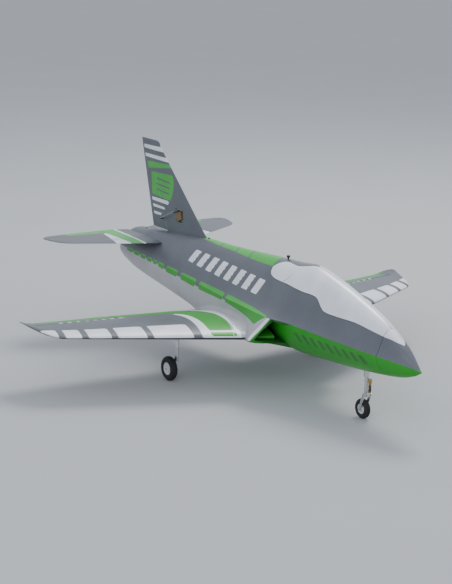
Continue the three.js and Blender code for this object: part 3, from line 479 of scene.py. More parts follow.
# Paint layout helpers, all in mm.
def outline(u, v, corners):
    # signed distance to a convex outline: the least of the distances inside its edges
    corner = np.array(corners, float)
    after = np.roll(corner, -1, 0)
    edge = after - corner
    turn = np.sign(np.sum(corner[:, 0] * after[:, 1] - after[:, 0] * corner[:, 1]))
    reach = [turn * (e[0] * (v - c[1]) - e[1] * (u - c[0])) / np.hypot(*e) for e, c in zip(edge, corner)]
    return np.min(reach, 0)


def anyOf(*fields):
    return np.max(np.broadcast_arrays(*fields), 0)


def allOf(*fields):
    return np.min(np.broadcast_arrays(*fields), 0)


# Upper body: crown, flanks and the deck over the intakes.
upperBody = {"frontStep": 4.0, "rearStep": 4.0, "grow": 2.2, "wall": 1.5, "gap": 0.5,
             "barFront": 506, "barPitch": 41, "barWide": 25, "barCount": 8, "barSlant": 0.42}


def stripeGaps(aft, up):
    # the slanted breaks in the stripe along the chine
    chine = lines["chineUp"](aft)
    places = ((617, 7), (745, 9), (834, 9.5), (905, 7), (945, 4), (972, 4), (1004, 5), (1040, 4), (1075, 4))
    return anyOf(*[half - np.abs(aft - place - 0.35 * (chine - up)) for place, half in places])


def upperRule(aft, out, up, facing):
    chineUp = lines["chineUp"](aft)
    over = through([[404, 0.5], [480, 5], [545, 7], [613, 8.5], [665, 9], [743, 7], [815, 5], [900, 4],
                    [1000, 3], [1112, 3]])(aft)
    stripe = allOf(chineUp + over - up, aft - 421 + 1.35 * (up - chineUp), 1112 - aft, -stripeGaps(aft, up))
    spineEdge = through([[480, 29], [506, 28.5], [539, 27.2], [593, 24.1], [660, 18.3], [708, 15.1],
                         [766, 11.7], [830, 7]])(aft)
    dividers = anyOf(*[2.6 - np.abs(aft - place + 0.3 * out) for place in (606, 667, 736)])
    spine = allOf(spineEdge - out, aft - 494, 818 - aft, up - 200)
    bars = upperBody
    low = through([[500, 214], [600, 217], [720, 223], [840, 232]])(aft)
    high = through([[500, 247], [600, 251], [720, 255], [840, 258]])(aft)
    slid = aft - bars["barFront"] + bars["barSlant"] * (up - low)
    phase = slid - bars["barPitch"] * np.clip(np.floor(slid / bars["barPitch"]), 0, bars["barCount"] - 1)
    block = allOf(phase, bars["barWide"] - phase, up - low, high - up)
    return {"green": anyOf(allOf(spine, -dividers), stripe), "white": block}


def upperGrid(stations, shares):
    # the sheet over aft stations; shares are t values per station
    aft = np.broadcast_to(stations[:, None], shares.shape)
    out, up = upperSkin(aft, shares, upperBody["grow"])
    return points(aft, out, up)


front = np.arange(plan["noseSeam"] + 0.3, 470, upperBody["frontStep"])
front = np.concatenate([front, np.linspace(471, plan["hatchRear"] + 0.4, 16)])
rear = np.arange(plan["hatchRear"] + 3, plan["tailEnd"], upperBody["rearStep"])
rear = np.append(rear, plan["tailEnd"])
edge = hatchShare(front) + upperBody["gap"] / flankLength
corner = edge[-1]
steps = np.linspace(0, 1, 46)[None, :]
flankStations = np.concatenate([front, rear])
flankEdge = np.concatenate([edge, np.full(len(rear), corner)])[:, None]
crownStations = np.concatenate([front[-1:], rear])
crownShares = np.broadcast_to(corner * np.linspace(0, 1, 14)[None, :], (len(crownStations), 14))
addPiece("upperBodySkin", [upperGrid(flankStations, flankEdge + (1 - flankEdge) * steps),
                           upperGrid(crownStations, crownShares)],
         finish["upper"], "airframe", mirrored=True, wall=upperBody["wall"], rule=upperRule, angle=50)


# Deck edge over each intake: from the chine down and in to the body under it, in the dark duct green with painted
# shade under the deck.
def deckUnder():
    aft = np.arange(337, 560, 5.0)[:, None]
    chine, up, low = lines["chineOut"](aft), lines["chineUp"](aft), lines["lowOut"](aft)
    deep = 6.6 * blend(337, 366, aft)
    inner = np.minimum(low - 3, chine - 1)
    nacelle = 6 * blend(396, 412, aft)
    middle = chine - 1.6 * blend(337, 366, aft) - nacelle
    out = np.concatenate([chine + 1, chine + 0.6 - nacelle, middle, inner], 1)
    height = np.concatenate([up, up - 0.4 * deep, up - deep, up - deep], 1)
    return points(aft, out, height)


addPiece("intakeDeck", [deckUnder()], finish["ductPaint"], "airframe", mirrored=True, wall=0.8)


# Belly: the lower front body, with the nose wheel's bay, and the wedge between the ducts.
belly = {"step": 4.5, "grow": 2.0, "wall": 1.5, "bay": [(134, 251, 15), (250, 316, 23.5)],
         "barFront": 128, "barPitch": 24, "barWide": 12, "barCount": 9, "barSlant": 0.55}


def bellyRule(aft, out, up, facing):
    slid = aft - belly["barFront"] - belly["barSlant"] * (up - 140)
    phase = slid - belly["barPitch"] * np.clip(np.floor(slid / belly["barPitch"]), 0, belly["barCount"] - 1)
    low = through([[120, 139], [200, 140], [340, 144]])(aft)
    high = through([[120, 158], [200, 161], [340, 165]])(aft)
    return {"dark": allOf(phase, belly["barWide"] - phase, up - low, high - up, out - 12)}


stations = np.append(np.arange(plan["noseSeam"] + 0.3, 590, belly["step"]), 590)[:, None]
out, up = lowerFront(stations, np.linspace(0, 1, 40)[None, :], belly["grow"])
bayTool = cutterFrom("bayTool", [blockGrid(((plan["noseX"] - rearEnd) / 1000, -half / 1000, 0.06),
                                           ((plan["noseX"] - frontEnd) / 1000, half / 1000, 0.15))
                                 for frontEnd, rearEnd, half in belly["bay"]])
addPiece("bellySkin", [points(stations, out, up)], finish["belly"], "airframe", mirrored=True,
         wall=belly["wall"], rule=bellyRule, cutters=[bayTool], angle=50)


# Nose cone: upper and lower skins that close at the tip, with a back wall.
def noseRule(aft, out, up, facing):
    chine = lines["chineUp"](aft)
    white = through([[56, 0], [59, 3], [66, 8.5], [75, 12.5], [94, 19.2], [101, 21]])(aft) - out
    return {"green": anyOf(chine - 0.4 - up, 6 - aft), "white": allOf(white, aft - 57, up - chine - 10)}


noseBack = 99.7  # aft of the nose's back wall
noseStations = (noseBack * np.linspace(0, 1, 40) ** 1.6)[:, None]
noseGrow = upperBody["grow"] * blend(0, 60, noseStations)
upperHalf = points(noseStations, *upperSkin(noseStations, np.linspace(0, 1, 44)[None, :], noseGrow))
lowerHalf = points(noseStations, *lowerFront(noseStations, np.linspace(0, 1, 30)[None, :], noseGrow))
noseTip = upperHalf[0].mean(0) * [1, 0, 1] + [0.0012, 0, 0]
noseMiddle = np.array([(plan["noseX"] - noseBack) / 1000, 0, 0.169])
noseEnds = [np.stack([half[row], np.broadcast_to(point, half[row].shape)])
            for row, point in ((0, noseTip), (-1, noseMiddle)) for half in (upperHalf, lowerHalf)]
addPiece("noseShell", [upperHalf, lowerHalf, *noseEnds], finish["nose"], "airframe", mirrored=True,
         rule=noseRule, angle=60, replaces=["nose_cone"])


# Canopy hatch: one thick sheet that fits the opening in the upper body.
canopy = {"wall": 5.0, "rows": 46, "gap": 0.4}


def canopyRule(aft, out, up, facing):
    strip = through([[352, 0], [357, 2], [363, 5], [381, 13.9], [409, 17.8], [430, 15], [452, 12.5],
                     [465, 14], [479, 20], [493, 30]])(aft)
    arc = 104 + 56 * (out / 29.6) ** 2.2
    glass = through([[385, 4], [398, 24], [412, 36], [430, 44]])(aft)
    seams = anyOf(0.45 - np.abs(aft - arc), 0.35 - np.abs(strip - out) * 0.8,
                  allOf(0.4 - np.abs(glass - out) * 0.55, aft - 386, 432 - aft))
    return {"grey": allOf(strip - out, aft - 354), "dark": seams}


hatchStations = np.concatenate([[plan["noseSeam"] + 0.3], front[1:-1], [plan["hatchRear"] - 0.3]])
hatchLimit = (hatchShare(hatchStations) - canopy["gap"] / flankLength)[:, None]
hatchShares = hatchLimit * np.linspace(0, 1, canopy["rows"])[None, :]
addPiece("canopyShell", [upperGrid(hatchStations, hatchShares)], finish["canopy"], "canopy",
         mirrored=True, wall=canopy["wall"], rule=canopyRule, angle=50, replaces=["canopy_hatch"])
print("fuselage front made")


# Sides: the nacelle from the slanted intake lip to the tail, root corner and underside.
def sideSheet(stations, t, grow):
    out, up = lowerRear(stations, t, grow)
    chine = lines["chineUp"](stations)
    share = np.clip((chine - up) / (chine - lines["rootUp"](stations)), 0, 1)
    lean = np.where(stations < 450, lines["lean"](stations), 0)
    return points(stations + lean * share, out, up)


def sideRule(aft, out, up, facing):
    chine = lines["chineUp"](aft)
    low = through([[430, 158], [452, 162.6], [520, 169], [614, 175.2], [742, 178.5], [831, 184], [905, 187.5],
                   [947, 193], [1030, 196], [1110, 201]])(aft)
    gaps = stripeGaps(aft, up)
    lipFront = np.where(aft < 470, lines["lipShare"](chine - up), 0)
    stripe = allOf(up - low, aft - 421 - 1.35 * (chine - up), 1112 - aft)
    notches = allOf(gaps, up - low - 4, chine - up + 3)
    under = lines["rootUp"](aft) - 0.6 - up
    lip = allOf(lipFront + 11 - aft, aft - lipFront - 1.6, -under)
    green = anyOf(allOf(stripe, -gaps), allOf(under, 700 - aft), lipFront + 1.6 - aft)
    return {"green": green, "grey": allOf(notches, up - chine + 8), "white": lip}


lines["lipShare"] = through([[0, 404], [25, 417], [50, 430], [70, 431]])
sideStations = np.concatenate([np.linspace(404.2, 450, 16), np.arange(455, plan["tailEnd"], 5),
                               [plan["tailEnd"]]])[:, None]
wells = {"aft": 640, "out": 91.5, "radius": 32.5, "swing": (7, 5), "swungRadius": 31, "top": 129,
         "slotAft": (621, 656), "slotOut": (81.5, 202), "slotTop": 138}
wellGrids = []
for side, name in sides:
    for shift, radius in (((0, 0), wells["radius"]), (wells["swing"], wells["swungRadius"])):
        centre = [(plan["noseX"] - wells["aft"] - shift[0]) / 1000,
                  side * (wells["out"] + shift[1]) / 1000, 0]
        wellGrids.append(turned([(radius / 1000, 0.06), (radius / 1000, wells["top"] / 1000)],
                                centre, (0, 0, 1)))
    slotY = sorted(side * value / 1000 for value in wells["slotOut"])
    slotX = [(plan["noseX"] - station) / 1000 for station in wells["slotAft"]]
    wellGrids.append(blockGrid((slotX[1], slotY[0], 0.06), (slotX[0], slotY[1], wells["slotTop"] / 1000)))
wellTools = [cutterFrom("wellTool%d" % i, [grid]) for i, grid in enumerate(wellGrids)]
addPiece("sideSkin", [sideSheet(sideStations, np.linspace(0, 1, 61)[None, :], 1.6)], finish["side"],
         "airframe", mirrored=True, wall=1.2, rule=sideRule, cutters=[*wellTools[0:2], *wellTools[3:5]], angle=50)


# Intake liner: the nacelle's inner wall, from the lip back to where the duct darkens, in the dark duct green with
# painted shade.
linerStations = np.linspace(404.6, 580, 46)[:, None]
addPiece("intakeLiner", [sideSheet(linerStations, np.linspace(0.0, 0.93, 40)[None, :], -5.6)],
         finish["ductPaint"], "airframe", mirrored=True, wall=0.8, inward=True)


# Lip: a rounded bead round the front edge of each nacelle.
def lipPath():
    t = np.linspace(0.0, 0.97, 60)[:, None]
    return sideSheet(np.full((60, 1), 404.8), t, -0.9)[:, 0, :]


addPiece("intakeLip", [tube(lipPath(), 0.0024, 14)], finish["belly"], "airframe", around=True, mirrored=True,
         caps=True)


# Tail end: a ring of skin from the body down to the exhaust tube.
def tailRing():
    t = np.linspace(0, 1, 60)
    outer = np.concatenate([np.stack(upperSkin(plan["tailEnd"], t, 0.6), 1),
                            np.stack(lowerRear(plan["tailEnd"], t, 0.6), 1)[1:]])
    turn = np.linspace(0, np.pi, len(outer))
    inner = np.stack([35.2 * np.sin(turn), 196 + 35.2 * np.cos(turn)], 1)
    # aft station and share of the way in for each row, from the skin over the round end into the tube
    rows = ((1156.6, 0), (1158.2, 0.04), (1158.2, 0.94), (1156.6, 1), (1120, 1))
    return np.stack([points(aft, *((1 - share) * outer + share * inner).T) for aft, share in rows])


addPiece("tailRing", [tailRing()], finish["side"], "airframe", mirrored=True, rule=sideRule, angle=50)
print("fuselage sides made")


# Wing: foil sections along the span, the tip raked back and turned up.
wing = {"tip": 487, "camber": 0.018, "flap": (118, 300), "aileron": (303, 503), "rows": 34,
        "flapHinge": ((118, 695.27), (300, 718.85)), "aileronHinge": ((303, 719.2), (503, 735.17))}
wingLines = {
    "trail": through([[0, 728], [100, 741], [196, 753], [320, 769], [421, 775], [503, 783],
                      [516, 780], [524, 772], [530, 759]]),
    "share": through([[0, 0.115], [300, 0.105], [487, 0.09], [530, 0.075]]),
    "rake": through([[486, 0], [500, 0.12], [512, 0.32], [522, 0.58], [530, 0.88]]),
    "rise": through([[486, 0], [500, 1.4], [512, 4.6], [522, 9], [530, 14]]),
}


def wingEdge(out):
    # the straight leading edge
    return 409.2 + 0.468 * out


def wingFront(out):
    corner = wingEdge(wing["tip"])
    tip = corner + wingLines["rake"](out) * (wingLines["trail"](out) - corner)
    return np.where(out <= wing["tip"], wingEdge(out), tip)


def wingHeight(out):
    return 127.2 + 0.023 * out + np.where(out > wing["tip"], wingLines["rise"](out), 0)


def foilHalf(t, share):
    # half thickness over chord at chord share t; the caller adds a small square trailing edge
    return share * (1.4845 * np.sqrt(t) - 0.63 * t - 1.758 * t**2 + 1.4215 * t**3 - 0.5075 * t**4)


def wingSurface(out, t, top):
    # a point of the wing: top is +1 over it and -1 under it
    front, chord = wingFront(out), wingLines["trail"](out) - wingFront(out)
    half = foilHalf(t, wingLines["share"](out)) * chord + 0.7 * t
    up = wingHeight(out) + 4 * wing["camber"] * chord * t * (1 - t) + top * half
    return points(front + t * chord, out, up)


def hingeShare(out, hinge):
    # chord share of a straight hinge line
    (o0, a0), (o1, a1) = hinge
    aft = a0 + (a1 - a0) * (out - o0) / (o1 - o0)
    return (aft - wingFront(out)) / (wingLines["trail"](out) - wingFront(out))


def foilLoop(out, start, end, surface, nose=None):
    # closed outlines for a row of span stations: back over the top to the front, then under it
    s = np.linspace(0, np.pi, wing["rows"])[None, :]
    t = start + (end - start) * (1 - np.cos(s)) / 2
    top, under = surface(out, t[:, ::-1], 1), surface(out, t, -1)
    if nose is None:
        return np.concatenate([top, under[:, 1:]], 1)
    return np.concatenate([top, nose, under], 1)


def hingeNose(out, share, surface, ahead):
    # the bevel's ridge on the hinge line, between the two skins
    middle = (surface(out, share, 1) + surface(out, share, -1)) / 2
    return middle + np.array([ahead / 1000, 0, 0])


# Wing livery in plan.
wingPaint = {"bars": (216.8, 310.6, 381.7, 440.6, 485.7), "barHalf": 6.6, "marks": (292, 452, 20)}


def wingRule(aft, out, up, facing):
    upper = facing[:, 2] * 30
    front = wingEdge(out)
    slid = out + 0.17 * (aft - front)
    blockEdge = through([[196, 566], [206, 569], [290, 600], [363, 626], [419, 646], [465, 666], [512, 689],
                         [530, 697]])(out)
    bars = anyOf(*[wingPaint["barHalf"] - np.abs(slid - place) for place in wingPaint["bars"]])
    blocks = allOf(blockEdge - aft, slid - 216, -bars, 515 - out)
    outer = through([[470, 189], [510, 184], [545, 176], [600, 165], [650, 162], [680, 172], [700, 196],
                     [715, 240]])(aft)
    wide = through([[470, 22], [545, 20], [620, 17], [675, 12], [690, 6], [700, 0]])(aft)
    inner = through([[436, 139], [484, 132], [519, 123], [560, 113], [600, 104], [640, 99], [690, 103],
                     [725, 118], [760, 148]])(aft)
    innerWide = through([[430, 8], [535, 10], [640, 9], [725, 7], [770, 5]])(aft)
    stripEdge = through([[186, 695], [257, 712], [350, 731], [472, 752], [512, 766]])(out)
    green = anyOf(allOf(out - inner, outer - out), allOf(aft - stripEdge, out - inner, 508 - out))
    line = anyOf(allOf(aft - front - 14, front + 22 - aft), front + 1.6 - aft)
    thin = allOf(line, out - inner, outer - out)
    first, last, pitch = wingPaint["marks"]
    count = (last - first) // pitch
    phase = out - first - pitch * np.clip(np.floor((out - first) / pitch), 0, count - 1)
    marks = allOf(phase, 12 - phase, aft - stripEdge + 16, stripEdge - 7 - aft, out - first)
    curves = anyOf(allOf(out - outer, outer + wide - out, blockEdge + 112 - aft),
                   allOf(inner - out, out - inner + innerWide))
    inside = lines["rootOut"](aft) - 6 - out
    white = allOf(anyOf(blocks, curves, thin, marks), -inside)
    # dark here is painted shade along the underside of the leading edge
    return {"silver": anyOf(allOf(inner - innerWide - out, upper + 60), allOf(-upper - 3, 505 - out)),
            "green": anyOf(allOf(green, upper), inside), "white": allOf(white, upper),
            "dark": allOf(4.5 - (aft - front), -upper + 1, -inside)}


def filletRule(aft, out, up, facing):
    # bare silver, with the edge of the wing's inner stripe
    paint = wingRule(aft, out, up, facing)
    edge = through([[462, 121], [500, 119], [540, 109], [600, 92], [640, 86], [700, 86], [748, 90]])(aft)
    hair = allOf(out - edge, edge + 1.8 - out, aft - 500)
    inner = np.where(out > edge + 4, paint["white"], nowhere)
    return {"silver": np.full_like(aft, 9), "green": np.full_like(aft, nowhere),
            "white": anyOf(hair, inner), "dark": np.full_like(aft, nowhere)}


def spanStations(*ranges):
    return np.concatenate([np.linspace(a, b, n) for a, b, n in ranges])[:, None]


flapCut, aileronCut = wing["flap"], wing["aileron"]
spans = spanStations((60, flapCut[0] - 1.01, 14), (flapCut[0] - 1, flapCut[1] + 1, 38),
                     (aileronCut[0] - 1, aileronCut[1] + 0.95, 42), (aileronCut[1] + 1, 530, 20))
inFlap = (spans > flapCut[0] - 1.005) & (spans < flapCut[1] + 1.5)
inAileron = (spans > flapCut[1] + 1.5) & (spans < aileronCut[1] + 0.97)
chordNow = wingLines["trail"](spans) - wingFront(spans)
rearShare = np.where(inFlap, hingeShare(spans, wing["flapHinge"]) - 1.0 / chordNow,
                     np.where(inAileron, hingeShare(spans, wing["aileronHinge"]) - 1.0 / chordNow, 1.0))
wingLoop = foilLoop(spans, 0, rearShare, wingSurface)


def mirrorGrid(grid, side):
    # keeps a left grid, or reflects it for the right wing
    return grid if side == 1 else grid[:, ::-1] * [1, -1, 1]


def boxGrid(node, grow, down):
    # a node's box, grown all round and drawn down through the skin under it
    low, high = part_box(node)
    return blockGrid((low[0] - grow, low[1] - grow, low[2] - grow - down),
                     (high[0] + grow, high[1] + grow, high[2] + grow))


def hornPlate(profile, across):
    # a flat plate 1.6 mm thick from (fore-and-aft, up) corners in mm
    return np.stack([np.column_stack([profile[:, 0], np.full(len(profile), across + half), profile[:, 1]])
                     for half in (-0.8, 0.8)]) / 1000


for side, name in sides:
    pocket = [cutterFrom(name + "UnitTool", [boxGrid(name + "_retract_unit", 0.0015, 0.06)]),
              cutterFrom(name + "ServoTool", [boxGrid(name + "_aileron_servo", 0.0008, 0.03)]),
              cutterFrom(name + "ArmTool", [boxGrid(name + "_aileron_servo_arm", 0.004, 0.03)])]
    wellCuts = wellTools[0:3] if side == 1 else wellTools[3:6]
    addPiece(name + "WingPanel", [mirrorGrid(wingLoop, side)], finish["wing"], "airframe", around=True,
             caps=True, rule=wingRule, cutters=[*wellCuts, *pocket], angle=40, replaces=[name + "_wing"])
    for kind, cut in (("flap", flapCut), ("aileron", aileronCut)):
        out = np.linspace(*cut, 40)[:, None]
        hinge = wing[kind + "Hinge"]
        chord = wingLines["trail"](out) - wingFront(out)
        share = hingeShare(out, hinge)
        thick = foilHalf(share, wingLines["share"](out)) * chord
        start = share + 0.92 * thick / chord
        loop = foilLoop(out, start, 1.0, wingSurface, hingeNose(out, share, wingSurface, -0.2))
        addPiece(name + kind.title(), [mirrorGrid(loop, side)], finish["wing"], name + "_" + kind,
                 around=True, caps=True, rule=wingRule, angle=40, replaces=[name + "_" + kind])
        at = np.array([[{"flap": 215, "aileron": 400}[kind]]])
        foot = hingeNose(at, hingeShare(at, hinge), wingSurface, 0)[0, 0] * [1, side, 1] * 1000
        profile = foot[[0, 2]] + np.array([[-11, -3.4], [-0.6, -3.4], [0.6, -9], [1.4, -14], [-0.4, -16],
                                           [-2.6, -14.5], [-8, -6]])
        addPiece(name + kind.title() + "Horn", [hornPlate(profile, foot[1])], finish["black"],
                 name + "_" + kind, around=True, caps=True, angle=30)


# Fillet between each side and its wing: a quadratic curve whose corner is the root corner.
def filletSheet():
    aft = np.linspace(462, 748, 90)[:, None]
    v = np.linspace(0, 1, 22)[None, :]
    rootOut, rootUp = lines["rootOut"](aft) + 1, lines["rootUp"](aft)
    reach = np.minimum(27 * (1 - 0.75 * blend(680, 748, aft)), np.maximum((aft - 411) / 0.468 - rootOut, 0.8))
    outEnd = rootOut + reach
    chord = wingLines["trail"](outEnd) - wingFront(outEnd)
    t = np.clip((aft - wingFront(outEnd)) / chord, 0.002, 1)
    half = foilHalf(t, wingLines["share"](outEnd)) * chord
    wingUp = wingHeight(outEnd) + 4 * wing["camber"] * chord * t * (1 - t) + half + 0.7 * t + 0.6
    height = lines["chineUp"](aft) - rootUp
    sideT = 0.4 * np.clip(1 - (wingUp - rootUp + 0.55 * reach) / height, 0.06, 1)
    sideOut, sideUp = lowerRear(aft, sideT, 2.0)
    cornerOut = lowerRear(aft, 0.4 * np.clip(1 - (wingUp - rootUp) / height, 0.06, 1), 2.0)[0]
    out, up = bezier([[sideOut, sideUp], [cornerOut, wingUp], [outEnd, wingUp]], v)
    return points(aft, out, up)


addPiece("wingRootFillet", [filletSheet()], finish["wing"], "airframe", mirrored=True, wall=2.0,
         rule=filletRule, angle=60)
print("wings made")


# Tailplane and fin: symmetric foils, thickness in mm.
tailLines = {"tip": 236,
             "trail": through([[20, 1150], [70, 1168], [155, 1171], [245, 1170], [260, 1165], [270, 1153]]),
             "rake": through([[235, 0], [246, 0.09], [255, 0.22], [262, 0.4], [267, 0.58], [270, 0.76]])}


def tailEdge(out):
    # the straight leading edge
    return 941 + 0.536 * out


def tailFront(out):
    corner = tailEdge(tailLines["tip"])
    tip = corner + tailLines["rake"](out) * (1174 - corner)
    return np.where(out <= tailLines["tip"], tailEdge(out), tip)


def tailSurface(out, t, top):
    chord = tailLines["trail"](out) - tailFront(out)
    rounded = 6.25 * np.sqrt(np.clip(1 - ((out - 252) / 19) ** 2, 0.02, 1))
    thick = np.where(out <= 252, 9.5 - out * 0.013, rounded)
    half = foilHalf(t, 1.0) * thick * 0.5 + 0.6 * t
    return points(tailFront(out) + t * chord, out, 244 + top * half)


def tailRule(aft, out, up, facing):
    upper = facing[:, 2] * 30
    t = (aft - 976) / (1149 - 976)
    start, middle, outer = 73 - 15 * t, 105 - 2 * (aft - 1004) / 100, 138 - 21 * (aft - 1012) / 94
    rearEdge = through([[60, 1160], [100, 1140], [171, 1145], [250, 1160]])(out)
    green = anyOf(allOf(out - start - 6, middle - out), allOf(aft - rearEdge, out - start, 200 - out))
    white = anyOf(allOf(out - start, start + 6 - out), allOf(out - middle, outer - out, 1128 - aft))
    # dark here is painted shade on the leading edge, under it and at its front
    return {"green": allOf(green, upper), "white": allOf(white, upper),
            "dark": allOf(3.5 - aft + tailFront(out), 2 - upper)}


def tailHingeShare(out):
    aft = 1108 + 0.18 * (out - 40)
    return (aft - tailFront(out)) / (tailLines["trail"](out) - tailFront(out))


tailSpans = spanStations((26, 38.99, 6), (39, 259, 60), (259.01, 270, 14))
tailChord = tailLines["trail"](tailSpans) - tailFront(tailSpans)
beforeElevator = (tailSpans > 38.995) & (tailSpans < 259.005)
tailRear = np.where(beforeElevator, tailHingeShare(tailSpans) - 1 / tailChord, 1.0)
tailLoop = foilLoop(tailSpans, 0, tailRear, tailSurface)
elevatorSpans = np.linspace(40, 258, 50)[:, None]
elevatorChord = tailLines["trail"](elevatorSpans) - tailFront(elevatorSpans)
elevatorStart = tailHingeShare(elevatorSpans)
elevatorLoop = foilLoop(elevatorSpans, elevatorStart + 2.6 / elevatorChord, 1.0, tailSurface,
                        hingeNose(elevatorSpans, elevatorStart, tailSurface, -0.2))
for side, name in sides:
    addPiece(name + "Tailplane", [mirrorGrid(tailLoop, side)], finish["tail"], "airframe", around=True,
             caps=True, rule=tailRule, angle=40, replaces=[name + "_stabilizer"])
    addPiece(name + "Elevator", [mirrorGrid(elevatorLoop, side)], finish["tail"], name + "_elevator",
             around=True, caps=True, rule=tailRule, angle=40, replaces=[name + "_elevator"])

finLines = {"edgeTop": 474, "rake": through([[474, 0.03], [479, 0.07], [483, 0.16], [486, 0.4]])}


def finEdge(up):
    # the straight leading edge
    return 816 + 1.131 * (up - 279)


def finFront(up):
    straightTo = finLines["edgeTop"]
    corner = finEdge(straightTo)
    foot = 11 * np.clip((300 - up) / 40, 0, 1.2) ** 2
    tip = corner + (finLines["rake"](up) - 0.03) * (finRear(straightTo) - corner) * 0.5
    return np.where(up <= straightTo, finEdge(up) - foot, tip)


def finRear(up):
    return 1063 + 0.2707 * (np.asarray(up, float) - 257)


def finThickness(up):
    return 14.5 - (up - 240) * 0.028


def finSurface(up, t, top):
    chord = finRear(up) - finFront(up)
    rounded = 7.9 * np.sqrt(np.clip(1 - ((up - finLines["edgeTop"]) / 12.4) ** 2, 0.02, 1))
    thick = np.where(up <= finLines["edgeTop"], finThickness(up), rounded)
    half = foilHalf(t, 1.0) * thick * 0.5 + 0.6 * t
    return points(finFront(up) + t * chord, top * half, up)


def finRule(aft, out, up, facing):
    stripes = [outline(aft, up, corners) for corners in (
        [(1113, 470), (1015, 472), (1003, 460), (1113, 461)],
        [(1108, 448), (994, 448), (984, 438), (1106, 440)],
        [(1074, 341), (988, 342), (992, 332), (1072, 333)],
        [(1070, 324), (1004, 323), (1011, 317), (1067, 317)],
        [(1065, 306), (1022, 306), (1029, 300), (1062, 299)])]
    band = outline(aft, up, [(1096, 429), (982, 433), (976, 427), (1091, 412)])
    body = through([[343, 983], [360, 973], [380, 968], [395, 969], [408, 973]])(up)
    panel = allOf(aft - body, outline(aft, up, [(1077, 405), (960, 409), (960, 343), (1072, 349)]))
    marks = anyOf(*[2.2 - np.abs(up - place - 0.06 * (aft - 1020)) for place in (362, 376, 390)])
    marks = allOf(marks, aft - 984, 1052 - aft)
    return {"green": allOf(anyOf(band, panel), -marks), "white": anyOf(*stripes),
            "dark": np.full_like(aft, nowhere)}


def finHinge(up):
    # aft station of the rudder's straight hinge line
    return 998 + 96 * (up - 269) / 217


def finHingeShare(up):
    return (finHinge(up) - finFront(up)) / (finRear(up) - finFront(up))


finUps = spanStations((252, 474, 60), (475, 486, 12))
finChord = finRear(finUps) - finFront(finUps)
finLoop = foilLoop(finUps, 0, np.where(finUps > 262, finHingeShare(finUps) - 1 / finChord, 1.0), finSurface)
rudderUps = spanStations((268, 474, 56), (475, 486, 12))
rudderChord = finRear(rudderUps) - finFront(rudderUps)
rudderStart = finHingeShare(rudderUps)
rudderThick = np.where(rudderUps <= finLines["edgeTop"], finThickness(rudderUps), 6)
rudderThick = foilHalf(rudderStart, 0.5) * rudderThick
rudderLoop = foilLoop(rudderUps, rudderStart + 0.92 * rudderThick / rudderChord, 1.0, finSurface,
                      hingeNose(rudderUps, rudderStart, finSurface, -0.2))
servoLow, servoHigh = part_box("rudder_servo")
armLow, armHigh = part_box("rudder_servo_arm")
# Each pocket has its room round the part, and how far it goes past the fin's middle.
pockets = [(servoLow, servoHigh, 0.0008, 0.0025), (armLow, armHigh, 0.0045, 0.0005)]
finTools = [cutterFrom("fin%dTool" % i, [blockGrid((low[0] - room, -0.02, low[2] - room),
                                                   (high[0] + room, depth, high[2] + room))])
            for i, (low, high, room, depth) in enumerate(pockets)]
addPiece("finPanel", [finLoop], finish["tail"], "airframe", around=True, caps=True, rule=finRule,
         cutters=finTools, angle=40, replaces=["fin"])
addPiece("rudderPanel", [rudderLoop], finish["tail"], "rudder", around=True, caps=True, rule=finRule,
         angle=40, replaces=["rudder"])
cover = blockGrid((servoLow[0] - 0.002, servoHigh[1] + 0.0002, servoLow[2] - 0.002),
                  (servoHigh[0] + 0.002, servoHigh[1] + 0.001, servoHigh[2] + 0.002))
addPiece("finServoCover", [cover], finish["tail"], "airframe", around=True, caps=True, rule=finRule,
         bevel=0.3, angle=30)
hornUp = 295.6
across = np.array([[-9, -3.2], [-0.4, -3.2], [0.5, -9], [1.3, -14], [-0.4, -16], [-2.6, -14.5], [-7, -6]])
rudderHorn = hornPlate(across + [plan["noseX"] - finHinge(hornUp), 0], hornUp)[:, :, [0, 2, 1]]  # laid flat
addPiece("rudderHorn", [rudderHorn], finish["black"], "rudder", around=True, caps=True, angle=30)
print("tail made")


# Landing gear.
tyre = {"turns": 72, "grooveDeep": 0.7, "grooveHalf": 0.032, "grooves": (-0.2, 0, 0.2)}


def tyreProfile(radius, width, rim):
    # round shoulders between bead and tread, with shallow grooves round the crown
    turn = np.linspace(-0.5 * np.pi, 0.5 * np.pi, 61)
    crown = radius * 0.30
    ring = np.stack([radius - crown + crown * np.cos(turn) ** 0.8, 0.5 * width * np.sin(turn)], 1)
    fromGroove = np.abs(ring[:, 1][:, None] - np.array(tyre["grooves"]) * width).min(1)
    ring[:, 0] -= np.where(fromGroove < tyre["grooveHalf"] * width, tyre["grooveDeep"], 0)
    bead = [[rim, 0.36 * width], [rim, -0.36 * width]]
    wall = [[rim + 0.8, 0.43 * width], [rim + 0.8, -0.43 * width]]
    return np.concatenate([[bead[1]], [wall[1]], ring, [wall[0]], [bead[0]], [bead[1]]])


def hubProfile(rim, width, bore):
    # dished disc with a rolled rim and a raised boss, closed on itself
    half = np.array([[bore, 0.44], [bore + 2.2, 0.44], [bore + 3.0, 0.38], [bore + 3.4, 0.2],
                     [0.62 * rim, 0.16], [0.80 * rim, 0.2], [0.86 * rim, 0.36], [0.92 * rim, 0.4],
                     [rim - 0.2, 0.38]]) * [1, width]
    return np.concatenate([half, (half * [1, -1])[::-1], half[:1]])


